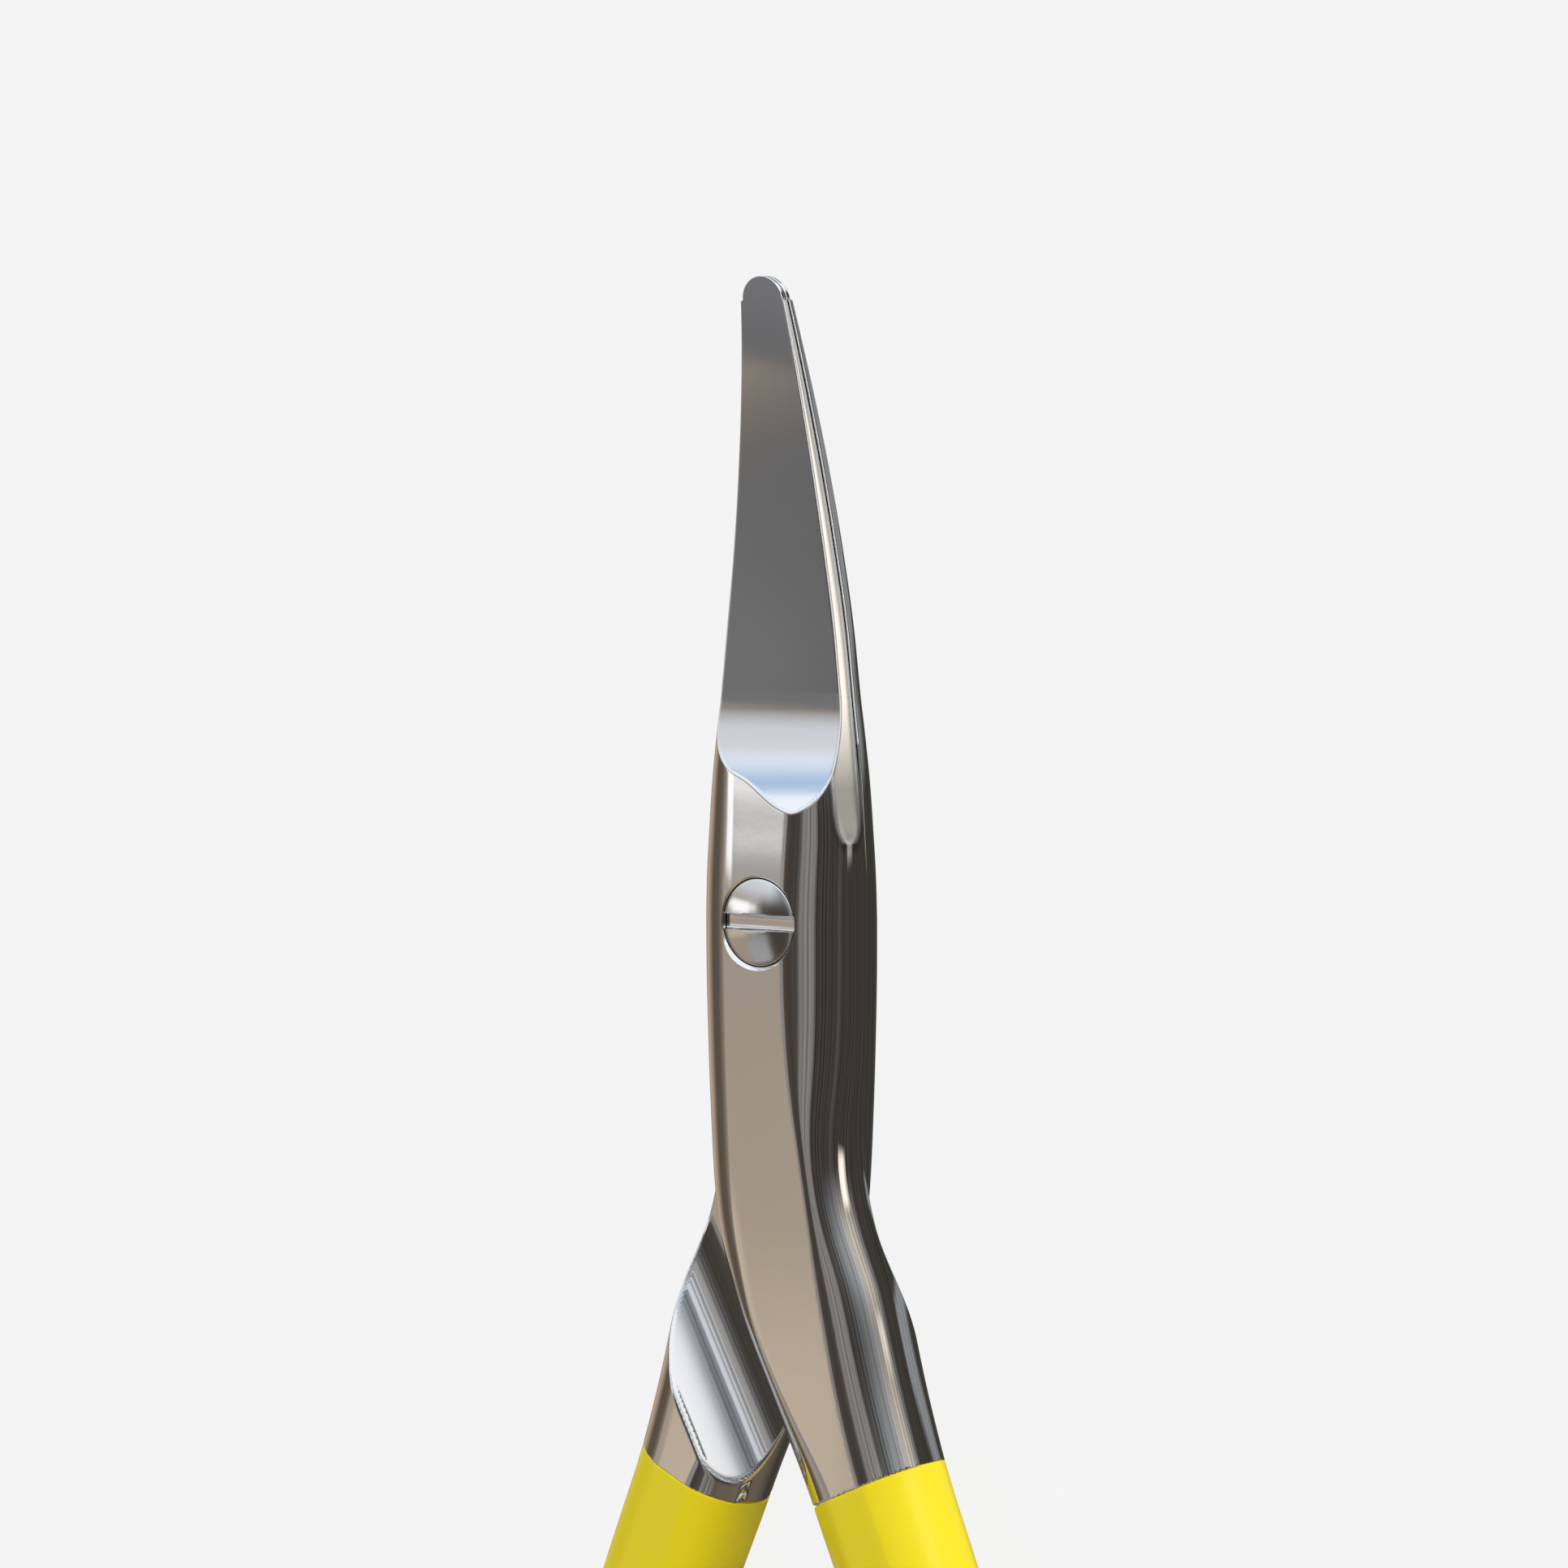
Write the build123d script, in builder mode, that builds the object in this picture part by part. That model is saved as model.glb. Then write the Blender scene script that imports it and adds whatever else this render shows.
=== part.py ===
from build123d import *
import math
import os

os.makedirs("parts", exist_ok=True)

# Curved-blade thread snips, closed, lying flat.
# +Y points to the blade tips, +Z from the resting face to the screw head,
# origin on the pivot axis in the resting plane.

# ---- driving dimensions, mm ----
half_h = 4.6            # thickness of one half, interface to outer flat
zm = half_h             # height of the interface plane
play = 0.025            # each half stands off the interface by this much
blade_relief = 0.05     # further set-back of each blade's inner face
tip_y = 50.5            # pivot to tip
curve_r = 128.0         # radius of the out-of-plane sweep of the blades
curve_y0 = 21.3         # where that sweep starts
axis_deg = 27.8         # direction of the inner relief, from -Y
relief_r = 7.55         # radius of the concave relief
relief_q0 = 18.2        # where the relief leaves the interface plane
bevel_deg = 65.0        # edge bevel, from the interface plane
grip_t = 1.3            # thickness of the vinyl coat
hole_r = 2.30           # pivot hole in both halves
shank_r = 2.25          # pivot screw shank
recess_r = 3.55         # recess for the screw head
recess_depth = 1.9
lip_r = 3.75            # outer radius of the recess's chamfered lip
head_r = 3.45
head_rim_z = 8.95
head_top_z = 9.50
slot_w = 1.25
slot_depth = 0.75
thread_r = 2.0
nut_af = 6.4            # nut across flats
nut_t = 1.7
nut_pocket_r = 4.1
nut_pocket_depth = 1.95
washer_t = 0.30
spring_y = -57.0        # return spring's axis
stud_r = 2.3            # nub that holds the coil, and the tail in the tang
stud_flange_r = 3.7
stud_face_x = 6.6       # spring seat, from the pivot plane
stud_flange_x = 10.0    # back of the flange
stud_tail_x = 13.2
nub_length = 2.6
spring_r = 3.3          # mean coil radius
wire_r = 0.45
spring_turns = 9.0

# Sections of one half at constant Y, as seen on the screw side of the front
# half: y, left edge, right edge, flat's left edge, flat's right edge, height.
body_rows = [
    (0.0, -7.40, 7.40, -2.80, 2.80, 4.60),
    (-4.0, -7.38, 7.40, -2.77, 2.83, 4.60),
    (-8.0, -7.28, 7.38, -2.72, 3.00, 4.60),
    (-12.0, -7.14, 7.25, -2.62, 3.36, 4.60),
    (-16.0, -6.95, 7.08, -2.48, 3.95, 4.60),
    (-20.0, -6.70, 7.38, -2.32, 4.65, 4.60),
    (-24.0, -6.20, 8.35, -2.00, 5.35, 4.60),
    (-28.0, -5.10, 9.72, -1.30, 6.10, 4.60),
    (-32.0, -3.40, 10.80, -0.30, 6.95, 4.60),
    (-36.0, -1.35, 11.85, 1.55, 7.85, 4.60),
    (-40.0, 0.45, 13.05, 3.90, 8.95, 4.60),
    (-44.0, 2.25, 14.40, 6.30, 10.30, 4.60),
    (-48.0, 3.97, 15.98, 8.07, 12.00, 4.60),
    (-52.0, 5.75, 17.55, 9.75, 13.70, 4.60),
    (-60.0, 9.10, 20.75, 13.00, 16.90, 4.60),
    (-68.0, 12.10, 23.50, 15.90, 19.70, 4.60),
    (-78.0, 14.65, 25.75, 18.35, 22.05, 4.60),
    (-88.0, 15.60, 26.60, 19.30, 22.90, 4.60),
    (-98.0, 15.00, 25.90, 18.65, 22.25, 4.60),
    (-106.0, 13.75, 24.05, 17.30, 20.50, 4.55),
    (-110.5, 13.60, 22.20, 16.70, 19.20, 4.20),
    (-113.0, 14.50, 20.20, 16.60, 18.20, 3.20),
    (-114.0, 16.00, 18.40, 16.85, 17.55, 1.60),
]
blade_rows = [
    (0.0, -7.40, 7.40, -2.80, 2.80, 4.60),
    (3.5, -7.34, 7.36, -2.82, 2.85, 4.46),
    (7.2, -7.15, 7.22, -2.86, 2.95, 4.20),
    (11.0, -6.88, 6.85, -2.95, 3.05, 3.92),
    (16.8, -6.22, 6.18, -3.00, 3.05, 3.40),
    (22.6, -5.60, 5.54, -2.75, 2.75, 3.05),
    (28.3, -4.80, 4.74, -2.40, 2.40, 2.90),
    (36.0, -3.75, 3.68, -1.90, 1.90, 2.80),
    (42.0, -2.97, 2.90, -1.50, 1.50, 2.70),
    (47.0, -2.36, 2.31, -1.20, 1.20, 2.60),
    (53.0, -1.66, 1.62, -0.85, 0.85, 2.50),
]
# Foot of the edge bevel: y, distance from the mid plane.
bevel_rows = [
    (4.0, 8.20), (6.5, 7.50), (9.0, 7.14), (12.0, 6.78), (16.8, 6.18),
    (22.6, 5.54), (28.3, 4.74), (36.0, 3.68), (42.0, 2.90), (47.0, 2.31), (54.0, 1.50),
]
bevel_foot = 0.28       # height of the narrow land under the bevel
# Thickness of the ground blade at mid width: y, mm.
ground_rows = [(15.0, 1.40), (18.0, 1.38), (28.0, 1.23), (40.0, 0.84), (50.8, 0.50), (56.0, 0.45)]
ground_tilt = 0.04      # the ground face falls towards the cutting edge
ramp_y = 18.0           # foot of the concave ramp above the ground face
ramp_r0 = 11.9          # its radius at mid width
ramp_r1 = 4.1           # how far the radius falls and rises to the sides
ramp_w = 2.4            # over about this width
tip_r = 1.95            # rounding of the blade's tip in plan


def sweep_up(y):
    """Height that the blade's sweep adds at y."""
    if y <= curve_y0:
        return 0.0
    return curve_r - math.sqrt(curve_r**2 - (y - curve_y0) ** 2)


def ramp_radius(u):
    return ramp_r0 + ramp_r1 * math.tanh(u / ramp_w)


def ground_thickness(u, y):
    """Height of the ground face above the inner face, u across the blade."""
    t = ground_rows[0][1]
    for (y0, t0), (y1, t1) in zip(ground_rows, ground_rows[1:]):
        if y0 <= y:
            t = t0 + (t1 - t0) * min(1.0, (y - y0) / (y1 - y0))
    t -= ground_tilt * u * min(1.0, max(0.0, (54.0 - y) / 25.0))
    if y < ramp_y:
        t += (ramp_y - y) ** 2 / (2 * ramp_radius(u))
    return t


# Everything on a half is drawn in that half's own terms: u across, y along and
# v outward from the interface. side is +1 for the front half and -1 for the
# back one, which is the front one turned half a turn about Y.


def cross_plane(y, side):
    return Plane(origin=(0, y, zm), x_dir=(side, 0, 0), z_dir=(0, -1, 0))


def full_section(row, side, inset=0.0):
    """Closed section, the same on both sides of the interface."""
    y, ul, ur, fl, fr, h = row
    ul, ur, h = ul + inset, ur - inset, h - inset
    fl, fr = fl + 0.3 * inset, fr - 0.3 * inset
    with BuildSketch(cross_plane(y, side)) as section:
        with BuildLine():
            Bezier((ur, 0), (ur, 0.565 * h), (fr + 0.543 * (ur - fr), 0.88 * h), (fr, h))
            Line((fr, h), (fl, h))
            Bezier((fl, h), (fl + 0.543 * (ul - fl), 0.88 * h), (ul, 0.565 * h), (ul, 0))
            Bezier((ul, 0), (ul, -0.565 * h), (fl + 0.543 * (ul - fl), -0.88 * h), (fl, -h))
            Line((fl, -h), (fr, -h))
            Bezier((fr, -h), (fr + 0.543 * (ur - fr), -0.88 * h), (ur, -0.565 * h), (ur, 0))
        make_face()
    return section.sketch


def blade_section(row, side):
    """Section of the blade's blank, raised with the sweep."""
    y, ul, ur, fl, fr, h = row
    s = side * sweep_up(y)
    with BuildSketch(cross_plane(y, side)) as section:
        with BuildLine():
            Line((ul, s - 1.5), (ur, s - 1.5))
            Line((ur, s - 1.5), (ur, s))
            Bezier((ur, s), (ur, s + 0.565 * h), (fr + 0.543 * (ur - fr), s + 0.88 * h), (fr, s + h))
            Line((fr, s + h), (fl, s + h))
            Bezier((fl, s + h), (fl + 0.543 * (ul - fl), s + 0.88 * h), (ul, s + 0.565 * h), (ul, s))
            Line((ul, s), (ul, s - 1.5))
        make_face()
    return section.sketch


def grip_plane(side):
    """Plane across the handle where the vinyl starts."""
    a = math.radians(24.5)
    return Plane(
        origin=(side * 8.7, -44.3 + 0.3 * side, zm),
        x_dir=(math.cos(a), side * math.sin(a), 0),
        z_dir=(side * math.sin(a), -math.cos(a), 0),
    )


def add_shank(side):
    """Shank from the pivot to the grip, then the thinner tang inside it."""
    loft([full_section(row, side) for row in body_rows])
    split(bisect_by=grip_plane(side), keep=Keep.BOTTOM)
    loft([full_section(row, side, inset=grip_t) for row in body_rows[10:21]])


def cut_relief(side):
    """Inner face: flat by the pivot, then a concave relief to full thickness."""
    a = math.radians(axis_deg)
    start = Vector(side * math.sin(a), math.cos(a), 0) * 40
    plane = Plane(
        origin=Vector(0, 0, zm) + start,
        x_dir=(side * math.cos(a), -math.sin(a), 0),
        z_dir=(-side * math.sin(a), -math.cos(a), 0),
    )
    depth = half_h + 0.9
    far = relief_q0 + math.sqrt(relief_r**2 - (relief_r - depth) ** 2)
    mid_a = 0.5 * math.asin((far - relief_q0) / relief_r)
    mid = (relief_q0 + relief_r * math.sin(mid_a), play - relief_r * (1 - math.cos(mid_a)))
    with BuildSketch(plane) as void:
        with BuildLine():
            Line((-60, play), (relief_q0, play))
            ThreePointArc((relief_q0, play), mid, (far, play - depth))
            Line((far, play - depth), (far, -9))
            Line((far, -9), (-60, -9))
            Line((-60, -9), (-60, play))
        make_face()
    extrude(void.sketch, amount=160, mode=Mode.SUBTRACT)


def add_blade(side):
    loft([blade_section(row, side) for row in blade_rows])


def cut_inner_face(side):
    """Inner face of the blade end: flat, set back, then swept."""
    p0, p1 = play, play + blade_relief
    mid_y, end_y = 38.0, 56.0
    with BuildSketch(Plane(origin=(-12, 0, zm), x_dir=(0, 1, 0), z_dir=(1, 0, 0))) as void:
        with BuildLine():
            Line((-1.0, side * p0), (9.0, side * p0))
            Line((9.0, side * p0), (13.0, side * p1))
            Line((13.0, side * p1), (curve_y0, side * p1))
            ThreePointArc(
                (curve_y0, side * p1),
                (mid_y, side * p1 + sweep_up(mid_y)),
                (end_y, side * p1 + sweep_up(end_y)),
            )
            Line((end_y, side * p1 + sweep_up(end_y)), (end_y, -side * 12))
            Line((end_y, -side * 12), (-1.0, -side * 12))
            Line((-1.0, -side * 12), (-1.0, side * p0))
        make_face()
    extrude(void.sketch, amount=24, mode=Mode.SUBTRACT)


def cut_ground_face(side):
    """Ground face: a thin blade that runs down into a concave ramp."""
    profiles = []
    for u in (-9.0, -6.5, -4.5, -3.0, -1.5, 0.0, 1.5, 3.0, 4.5, 6.5, 9.0):
        top = ramp_y - math.sqrt(2 * ramp_radius(u) * 6.0)
        ys = [56.0, 50.8, 45.0, 40.0, 34.0, 28.0, 23.0, 18.0]
        ys += [18.0 + (top - 18.0) * k / 6 for k in range(1, 7)]
        pts = [(y, side * ground_thickness(u, y) + sweep_up(y)) for y in ys]
        with BuildSketch(Plane(origin=(side * u, 0, zm), x_dir=(0, 1, 0), z_dir=(1, 0, 0))) as void:
            with BuildLine():
                Spline(*pts)
                Line(pts[-1], (top, side * 14))
                Line((top, side * 14), (56.0, side * 14))
                Line((56.0, side * 14), pts[0])
            make_face()
        profiles.append(void.sketch)
    loft(profiles, mode=Mode.SUBTRACT)


def cut_bevel(side):
    """Steep facet along the cutting edge, above a narrow land."""
    run = 5.0 / math.tan(math.radians(bevel_deg))
    profiles = []
    for y, u in bevel_rows:
        s = side * sweep_up(y) + play + bevel_foot
        with BuildSketch(cross_plane(y, side)) as void:
            with BuildLine():
                Polyline((u, s), (u + 5, s), (u + 5, s + 5), (u - run, s + 5), (u, s))
            make_face()
        profiles.append(void.sketch)
    loft(profiles, mode=Mode.SUBTRACT)


def cut_tip(side):
    """Round the tip in plan."""
    y1 = tip_y
    with BuildSketch(Plane(origin=(0, 0, -5))) as void:
        with Locations((0, y1)):
            Rectangle(12, 8)
        with Locations((0, y1 - tip_r)):
            Circle(tip_r, mode=Mode.SUBTRACT)
            Rectangle(2 * tip_r, 8, align=(Align.CENTER, Align.MAX), mode=Mode.SUBTRACT)
        for e in (-1, 1):
            with Locations((e * (tip_r + 3.0), y1 - tip_r - 2.6)):
                Rectangle(6.0, 5.2, mode=Mode.SUBTRACT)
    extrude(void.sketch, amount=30, mode=Mode.SUBTRACT)


def cut_stud_seat(side):
    """Seat for the spring stud: a spot face and the hole for its tail."""
    start = Plane(origin=(side * 2.0, spring_y, zm), x_dir=(0, 1, 0), z_dir=(side, 0, 0))
    with BuildSketch(start) as flange_hole:
        Circle(stud_flange_r + 0.03)
    extrude(flange_hole.sketch, amount=stud_flange_x - 2.0, mode=Mode.SUBTRACT)
    with BuildSketch(start) as tail_hole:
        Circle(stud_r)
    extrude(tail_hole.sketch, amount=stud_tail_x - 2.0, mode=Mode.SUBTRACT)


def add_half(side):
    add_shank(side)
    cut_relief(side)
    add_blade(side)
    cut_inner_face(side)
    cut_ground_face(side)
    cut_bevel(side)
    cut_tip(side)
    cut_stud_seat(side)


# Front half: screw side, handle to +X. It turns on the pivot screw.
with BuildPart() as front_blade_half:
    add_half(1)
    with BuildSketch(Plane.XY):
        Circle(hole_r)
    extrude(amount=12, mode=Mode.SUBTRACT)
    with BuildSketch(Plane.XZ):
        with BuildLine():
            z0, z1 = zm + half_h - recess_depth, zm + half_h
            Polyline(
                (0, z0), (recess_r, z0), (recess_r, z1 - 0.22), (lip_r, z1),
                (lip_r + 0.3, z1 + 0.33), (0, z1 + 0.33), (0, z0),
            )
        make_face()
    revolve(axis=Axis.Z, mode=Mode.SUBTRACT)
front_blade_half.part.label = "front_blade_half"
export_step(front_blade_half.part, "parts/front_blade_half.step")

# Back half: handle to -X. It carries the screw and the nut.
with BuildPart() as back_blade_half:
    add_half(-1)
    with BuildSketch(Plane.XY):
        Circle(hole_r)
    extrude(amount=12, mode=Mode.SUBTRACT)
    with BuildSketch(Plane.XY.offset(-1)):
        Circle(nut_pocket_r)
    extrude(amount=nut_pocket_depth + 1, mode=Mode.SUBTRACT)
back_blade_half.part.label = "back_blade_half"
export_step(back_blade_half.part, "parts/back_blade_half.step")

# Pivot screw: low domed head with one slot, plain shank, threaded end.
washer_z = zm + half_h - recess_depth
head_z = washer_z + washer_t
with BuildPart() as pivot_screw:
    with BuildSketch(Plane.XZ):
        with BuildLine():
            rise = head_top_z - head_rim_z
            dome_r = (head_r**2 + rise**2) / (2 * rise)
            mid_x = head_r / 2
            mid_z = head_top_z - dome_r + math.sqrt(dome_r**2 - mid_x**2)
            Polyline(
                (0, 0), (thread_r - 0.2, 0), (thread_r, 0.2), (thread_r, nut_pocket_depth),
                (shank_r, nut_pocket_depth), (shank_r, head_z), (head_r, head_z),
                (head_r, head_rim_z),
            )
            ThreePointArc((head_r, head_rim_z), (mid_x, mid_z), (0, head_top_z))
            Line((0, head_top_z), (0, 0))
        make_face()
    revolve(axis=Axis.Z)
    with BuildSketch(Plane.XY.offset(head_rim_z + 0.25 - slot_depth)):
        Rectangle(10, slot_w)
    extrude(amount=3, mode=Mode.SUBTRACT)
pivot_screw.part.label = "pivot_screw"
export_step(pivot_screw.part, "parts/pivot_screw.step")

# Thin washer under the screw head.
with BuildPart() as tension_washer:
    with BuildSketch(Plane.XY.offset(washer_z)):
        Circle(3.4)
        Circle(2.4, mode=Mode.SUBTRACT)
    extrude(amount=washer_t)
tension_washer.part.label = "tension_washer"
export_step(tension_washer.part, "parts/tension_washer.step")

# Hex nut, sunk flush in the back half.
with BuildPart() as pivot_nut:
    with BuildSketch(Plane.XY.offset(nut_pocket_depth - nut_t)):
        RegularPolygon(radius=nut_af / 2, side_count=6, major_radius=False)
        Circle(thread_r, mode=Mode.SUBTRACT)
    extrude(amount=nut_t)
    chamfer(pivot_nut.edges().filter_by(Plane.XY).group_by(Axis.Z)[0].sort_by(SortBy.LENGTH)[:6], 0.25)
pivot_nut.part.label = "pivot_nut"
export_step(pivot_nut.part, "parts/pivot_nut.step")


def add_grip(side):
    """Vinyl coat on the tang, flush with the steel where it starts."""
    loft([full_section(row, side) for row in body_rows])
    split(bisect_by=grip_plane(side), keep=Keep.TOP)
    loft([full_section(row, side, inset=grip_t) for row in body_rows[10:21]], mode=Mode.SUBTRACT)
    cut_stud_seat(side)


with BuildPart() as front_grip:
    add_grip(1)
front_grip.part.label = "front_grip"
export_step(front_grip.part, "parts/front_grip.step")

with BuildPart() as back_grip:
    add_grip(-1)
back_grip.part.label = "back_grip"
export_step(back_grip.part, "parts/back_grip.step")


def add_stud(side):
    """Spring seat: a tail in the tang, a flange and a nub for the coil."""
    with BuildSketch(Plane(origin=(0, spring_y, zm), x_dir=(side, 0, 0), z_dir=(0, 0, side))) as profile:
        with BuildLine():
            a, b = stud_face_x - nub_length, stud_face_x
            Polyline(
                (a, 0), (a, stud_r - 0.4), (a + 0.4, stud_r), (b, stud_r), (b, stud_flange_r - 0.3),
                (b + 0.3, stud_flange_r), (stud_flange_x, stud_flange_r), (stud_flange_x, stud_r),
                (stud_tail_x, stud_r), (stud_tail_x, 0), (a, 0),
            )
        make_face()
    revolve(profile.sketch, axis=Axis((0, spring_y, zm), (1, 0, 0)))


with BuildPart() as front_spring_stud:
    add_stud(1)
front_spring_stud.part.label = "front_spring_stud"
export_step(front_spring_stud.part, "parts/front_spring_stud.step")

with BuildPart() as back_spring_stud:
    add_stud(-1)
back_spring_stud.part.label = "back_spring_stud"
export_step(back_spring_stud.part, "parts/back_spring_stud.step")

# Compression spring between the two seats, shown held closed.
spring_len = 2 * (stud_face_x - wire_r - 0.01)
with BuildPart() as return_spring:
    with BuildLine():
        coil = Helix(
            pitch=spring_len / spring_turns, height=spring_len, radius=spring_r,
            center=(-spring_len / 2, spring_y, zm), direction=(1, 0, 0),
        )
    with BuildSketch(Plane(origin=coil @ 0, z_dir=coil % 0)):
        Circle(wire_r)
    sweep(is_frenet=True)
return_spring.part.label = "return_spring"
export_step(return_spring.part, "parts/return_spring.step")

for piece in (
    front_blade_half, back_blade_half, pivot_screw, pivot_nut, tension_washer,
    front_grip, back_grip, front_spring_stud, back_spring_stud, return_spring,
):
    b = piece.part.bounding_box()
    print(piece.part.label, len(piece.part.solids()), round(piece.part.volume, 1),
          [round(v, 2) for v in (*b.min, *b.max)])
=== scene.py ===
import math
import bpy
import numpy as np
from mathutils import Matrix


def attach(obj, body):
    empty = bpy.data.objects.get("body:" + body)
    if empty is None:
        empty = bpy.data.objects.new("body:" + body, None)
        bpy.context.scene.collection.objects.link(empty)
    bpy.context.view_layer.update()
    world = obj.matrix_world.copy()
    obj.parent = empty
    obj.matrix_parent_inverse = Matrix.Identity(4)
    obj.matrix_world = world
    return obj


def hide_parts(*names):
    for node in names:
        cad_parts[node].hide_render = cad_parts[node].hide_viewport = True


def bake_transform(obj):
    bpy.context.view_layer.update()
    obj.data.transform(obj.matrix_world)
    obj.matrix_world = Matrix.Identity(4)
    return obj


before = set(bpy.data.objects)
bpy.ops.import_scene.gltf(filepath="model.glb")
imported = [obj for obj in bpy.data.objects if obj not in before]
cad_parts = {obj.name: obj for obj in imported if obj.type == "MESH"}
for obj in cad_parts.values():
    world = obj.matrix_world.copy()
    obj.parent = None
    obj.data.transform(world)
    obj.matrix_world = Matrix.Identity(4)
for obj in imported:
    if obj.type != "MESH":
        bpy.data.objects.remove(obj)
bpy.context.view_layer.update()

# ------------------------------------------------------------------ numbers, mm
MM = 0.001
H = 4.6
ZM = 4.6
PLAY = 0.025
SET_BACK = 0.05
TIP_Y = 50.5
TIP_R = 1.95
SWEEP_R = 128.0
SWEEP_Y = 21.3
AXIS = math.radians(27.8)
REL_R = 7.55
REL_Q = 18.2
BEVEL = math.radians(65.0)
FOOT = 0.28
COAT = 1.3
GRIP_A = math.radians(24.5)
SPRING_Y = -57.0
EDGE = 0.17
RIM = 0.30              # softer edge round the inner relief

BODY = np.array([
    (0.0, -7.40, 7.40, -2.80, 2.80, 4.60),
    (-4.0, -7.38, 7.40, -2.77, 2.83, 4.60),
    (-8.0, -7.28, 7.38, -2.72, 3.00, 4.60),
    (-12.0, -7.14, 7.25, -2.62, 3.36, 4.60),
    (-16.0, -6.95, 7.08, -2.48, 3.95, 4.60),
    (-20.0, -6.70, 7.38, -2.32, 4.65, 4.60),
    (-24.0, -6.20, 8.35, -2.00, 5.35, 4.60),
    (-28.0, -5.10, 9.72, -1.30, 6.10, 4.60),
    (-32.0, -3.40, 10.80, -0.30, 6.95, 4.60),
    (-36.0, -1.35, 11.85, 1.55, 7.85, 4.60),
    (-40.0, 0.45, 13.05, 3.90, 8.95, 4.60),
    (-44.0, 2.25, 14.40, 6.30, 10.30, 4.60),
    (-48.0, 3.97, 15.98, 8.07, 12.00, 4.60),
    (-52.0, 5.75, 17.55, 9.75, 13.70, 4.60),
    (-60.0, 9.10, 20.75, 13.00, 16.90, 4.60),
    (-68.0, 12.10, 23.50, 15.90, 19.70, 4.60),
    (-78.0, 14.65, 25.75, 18.35, 22.05, 4.60),
    (-88.0, 15.60, 26.60, 19.30, 22.90, 4.60),
    (-98.0, 15.00, 25.90, 18.65, 22.25, 4.60),
    (-106.0, 13.75, 24.05, 17.30, 20.50, 4.55),
    (-110.5, 13.60, 22.20, 16.70, 19.20, 4.20),
    (-113.0, 14.50, 20.20, 16.60, 18.20, 3.20),
    (-114.0, 16.00, 18.40, 16.85, 17.55, 1.60),
])[::-1]
BLADE = np.array([
    (0.0, -7.40, 7.40, -2.80, 2.80, 4.60),
    (3.5, -7.34, 7.36, -2.82, 2.85, 4.46),
    (7.2, -7.15, 7.22, -2.86, 2.95, 4.20),
    (11.0, -6.88, 6.85, -2.95, 3.05, 3.92),
    (16.8, -6.22, 6.18, -3.00, 3.05, 3.40),
    (22.6, -5.60, 5.54, -2.75, 2.75, 3.05),
    (28.3, -4.80, 4.74, -2.40, 2.40, 2.90),
    (36.0, -3.75, 3.68, -1.90, 1.90, 2.80),
    (42.0, -2.97, 2.90, -1.50, 1.50, 2.70),
    (47.0, -2.36, 2.31, -1.20, 1.20, 2.60),
    (53.0, -1.66, 1.62, -0.85, 0.85, 2.50),
])
BEVEL_ROWS = np.array([
    (4.0, 8.20), (6.5, 7.50), (9.0, 7.14), (12.0, 6.78), (16.8, 6.18), (22.6, 5.54),
    (28.3, 4.74), (36.0, 3.68), (42.0, 2.90), (47.0, 2.31), (54.0, 1.50),
])
GROUND = np.array([(15.0, 1.40), (18.0, 1.38), (28.0, 1.23), (40.0, 0.84), (50.8, 0.50), (56.0, 0.45)])


# ------------------------------------------------------------------ curves
class Curve:
    """Natural cubic spline through rows sorted by x."""

    def __init__(self, x, f):
        n = len(x)
        d = np.diff(x)
        a = np.zeros((n, n))
        b = np.zeros(n)
        a[0, 0] = a[-1, -1] = 1.0
        for i in range(1, n - 1):
            a[i, i - 1] = d[i - 1]
            a[i, i] = 2 * (d[i - 1] + d[i])
            a[i, i + 1] = d[i]
            b[i] = 6 * ((f[i + 1] - f[i]) / d[i] - (f[i] - f[i - 1]) / d[i - 1])
        self.x, self.f, self.m = x, f, np.linalg.solve(a, b)

    def __call__(self, t):
        x, f, m = self.x, self.f, self.m
        t = np.clip(t, x[0], x[-1])
        i = np.clip(np.searchsorted(x, t) - 1, 0, len(x) - 2)
        d = x[i + 1] - x[i]
        p, q = x[i + 1] - t, t - x[i]
        return (m[i] * p ** 3 + m[i + 1] * q ** 3) / (6 * d) + (f[i] / d - m[i] * d / 6) * p + (f[i + 1] / d - m[i + 1] * d / 6) * q


body_c = [Curve(BODY[:, 0], BODY[:, k]) for k in range(1, 6)]
blade_c = [Curve(BLADE[:, 0], BLADE[:, k]) for k in range(1, 6)]
bevel_c = Curve(BEVEL_ROWS[:, 0], BEVEL_ROWS[:, 1])
ground_c = Curve(GROUND[:, 0], GROUND[:, 1])


def rows_at(y):
    """ul, ur, fl, fr, h at y: the body's rows below the pivot, the blade's above it."""
    out = [np.where(y < 0, b(y), c(y)) for b, c in zip(body_c, blade_c)]
    out[4] = np.minimum(out[4], H)
    return out


def sweep(y):
    return SWEEP_R - np.sqrt(SWEEP_R ** 2 - np.clip(y - SWEEP_Y, 0, 60) ** 2)


t_ = np.linspace(0, 1, 4001)
bx_ = (1 - t_) ** 3 + 3 * (1 - t_) ** 2 * t_ + 3 * (1 - t_) * t_ ** 2 * 0.543
by_ = 3 * (1 - t_) ** 2 * t_ * 0.565 + 3 * (1 - t_) * t_ ** 2 * 0.88 + t_ ** 3
TH = np.arctan2(by_, bx_)
RHO = np.hypot(bx_, by_)
DRHO = np.gradient(RHO, TH)


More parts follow.
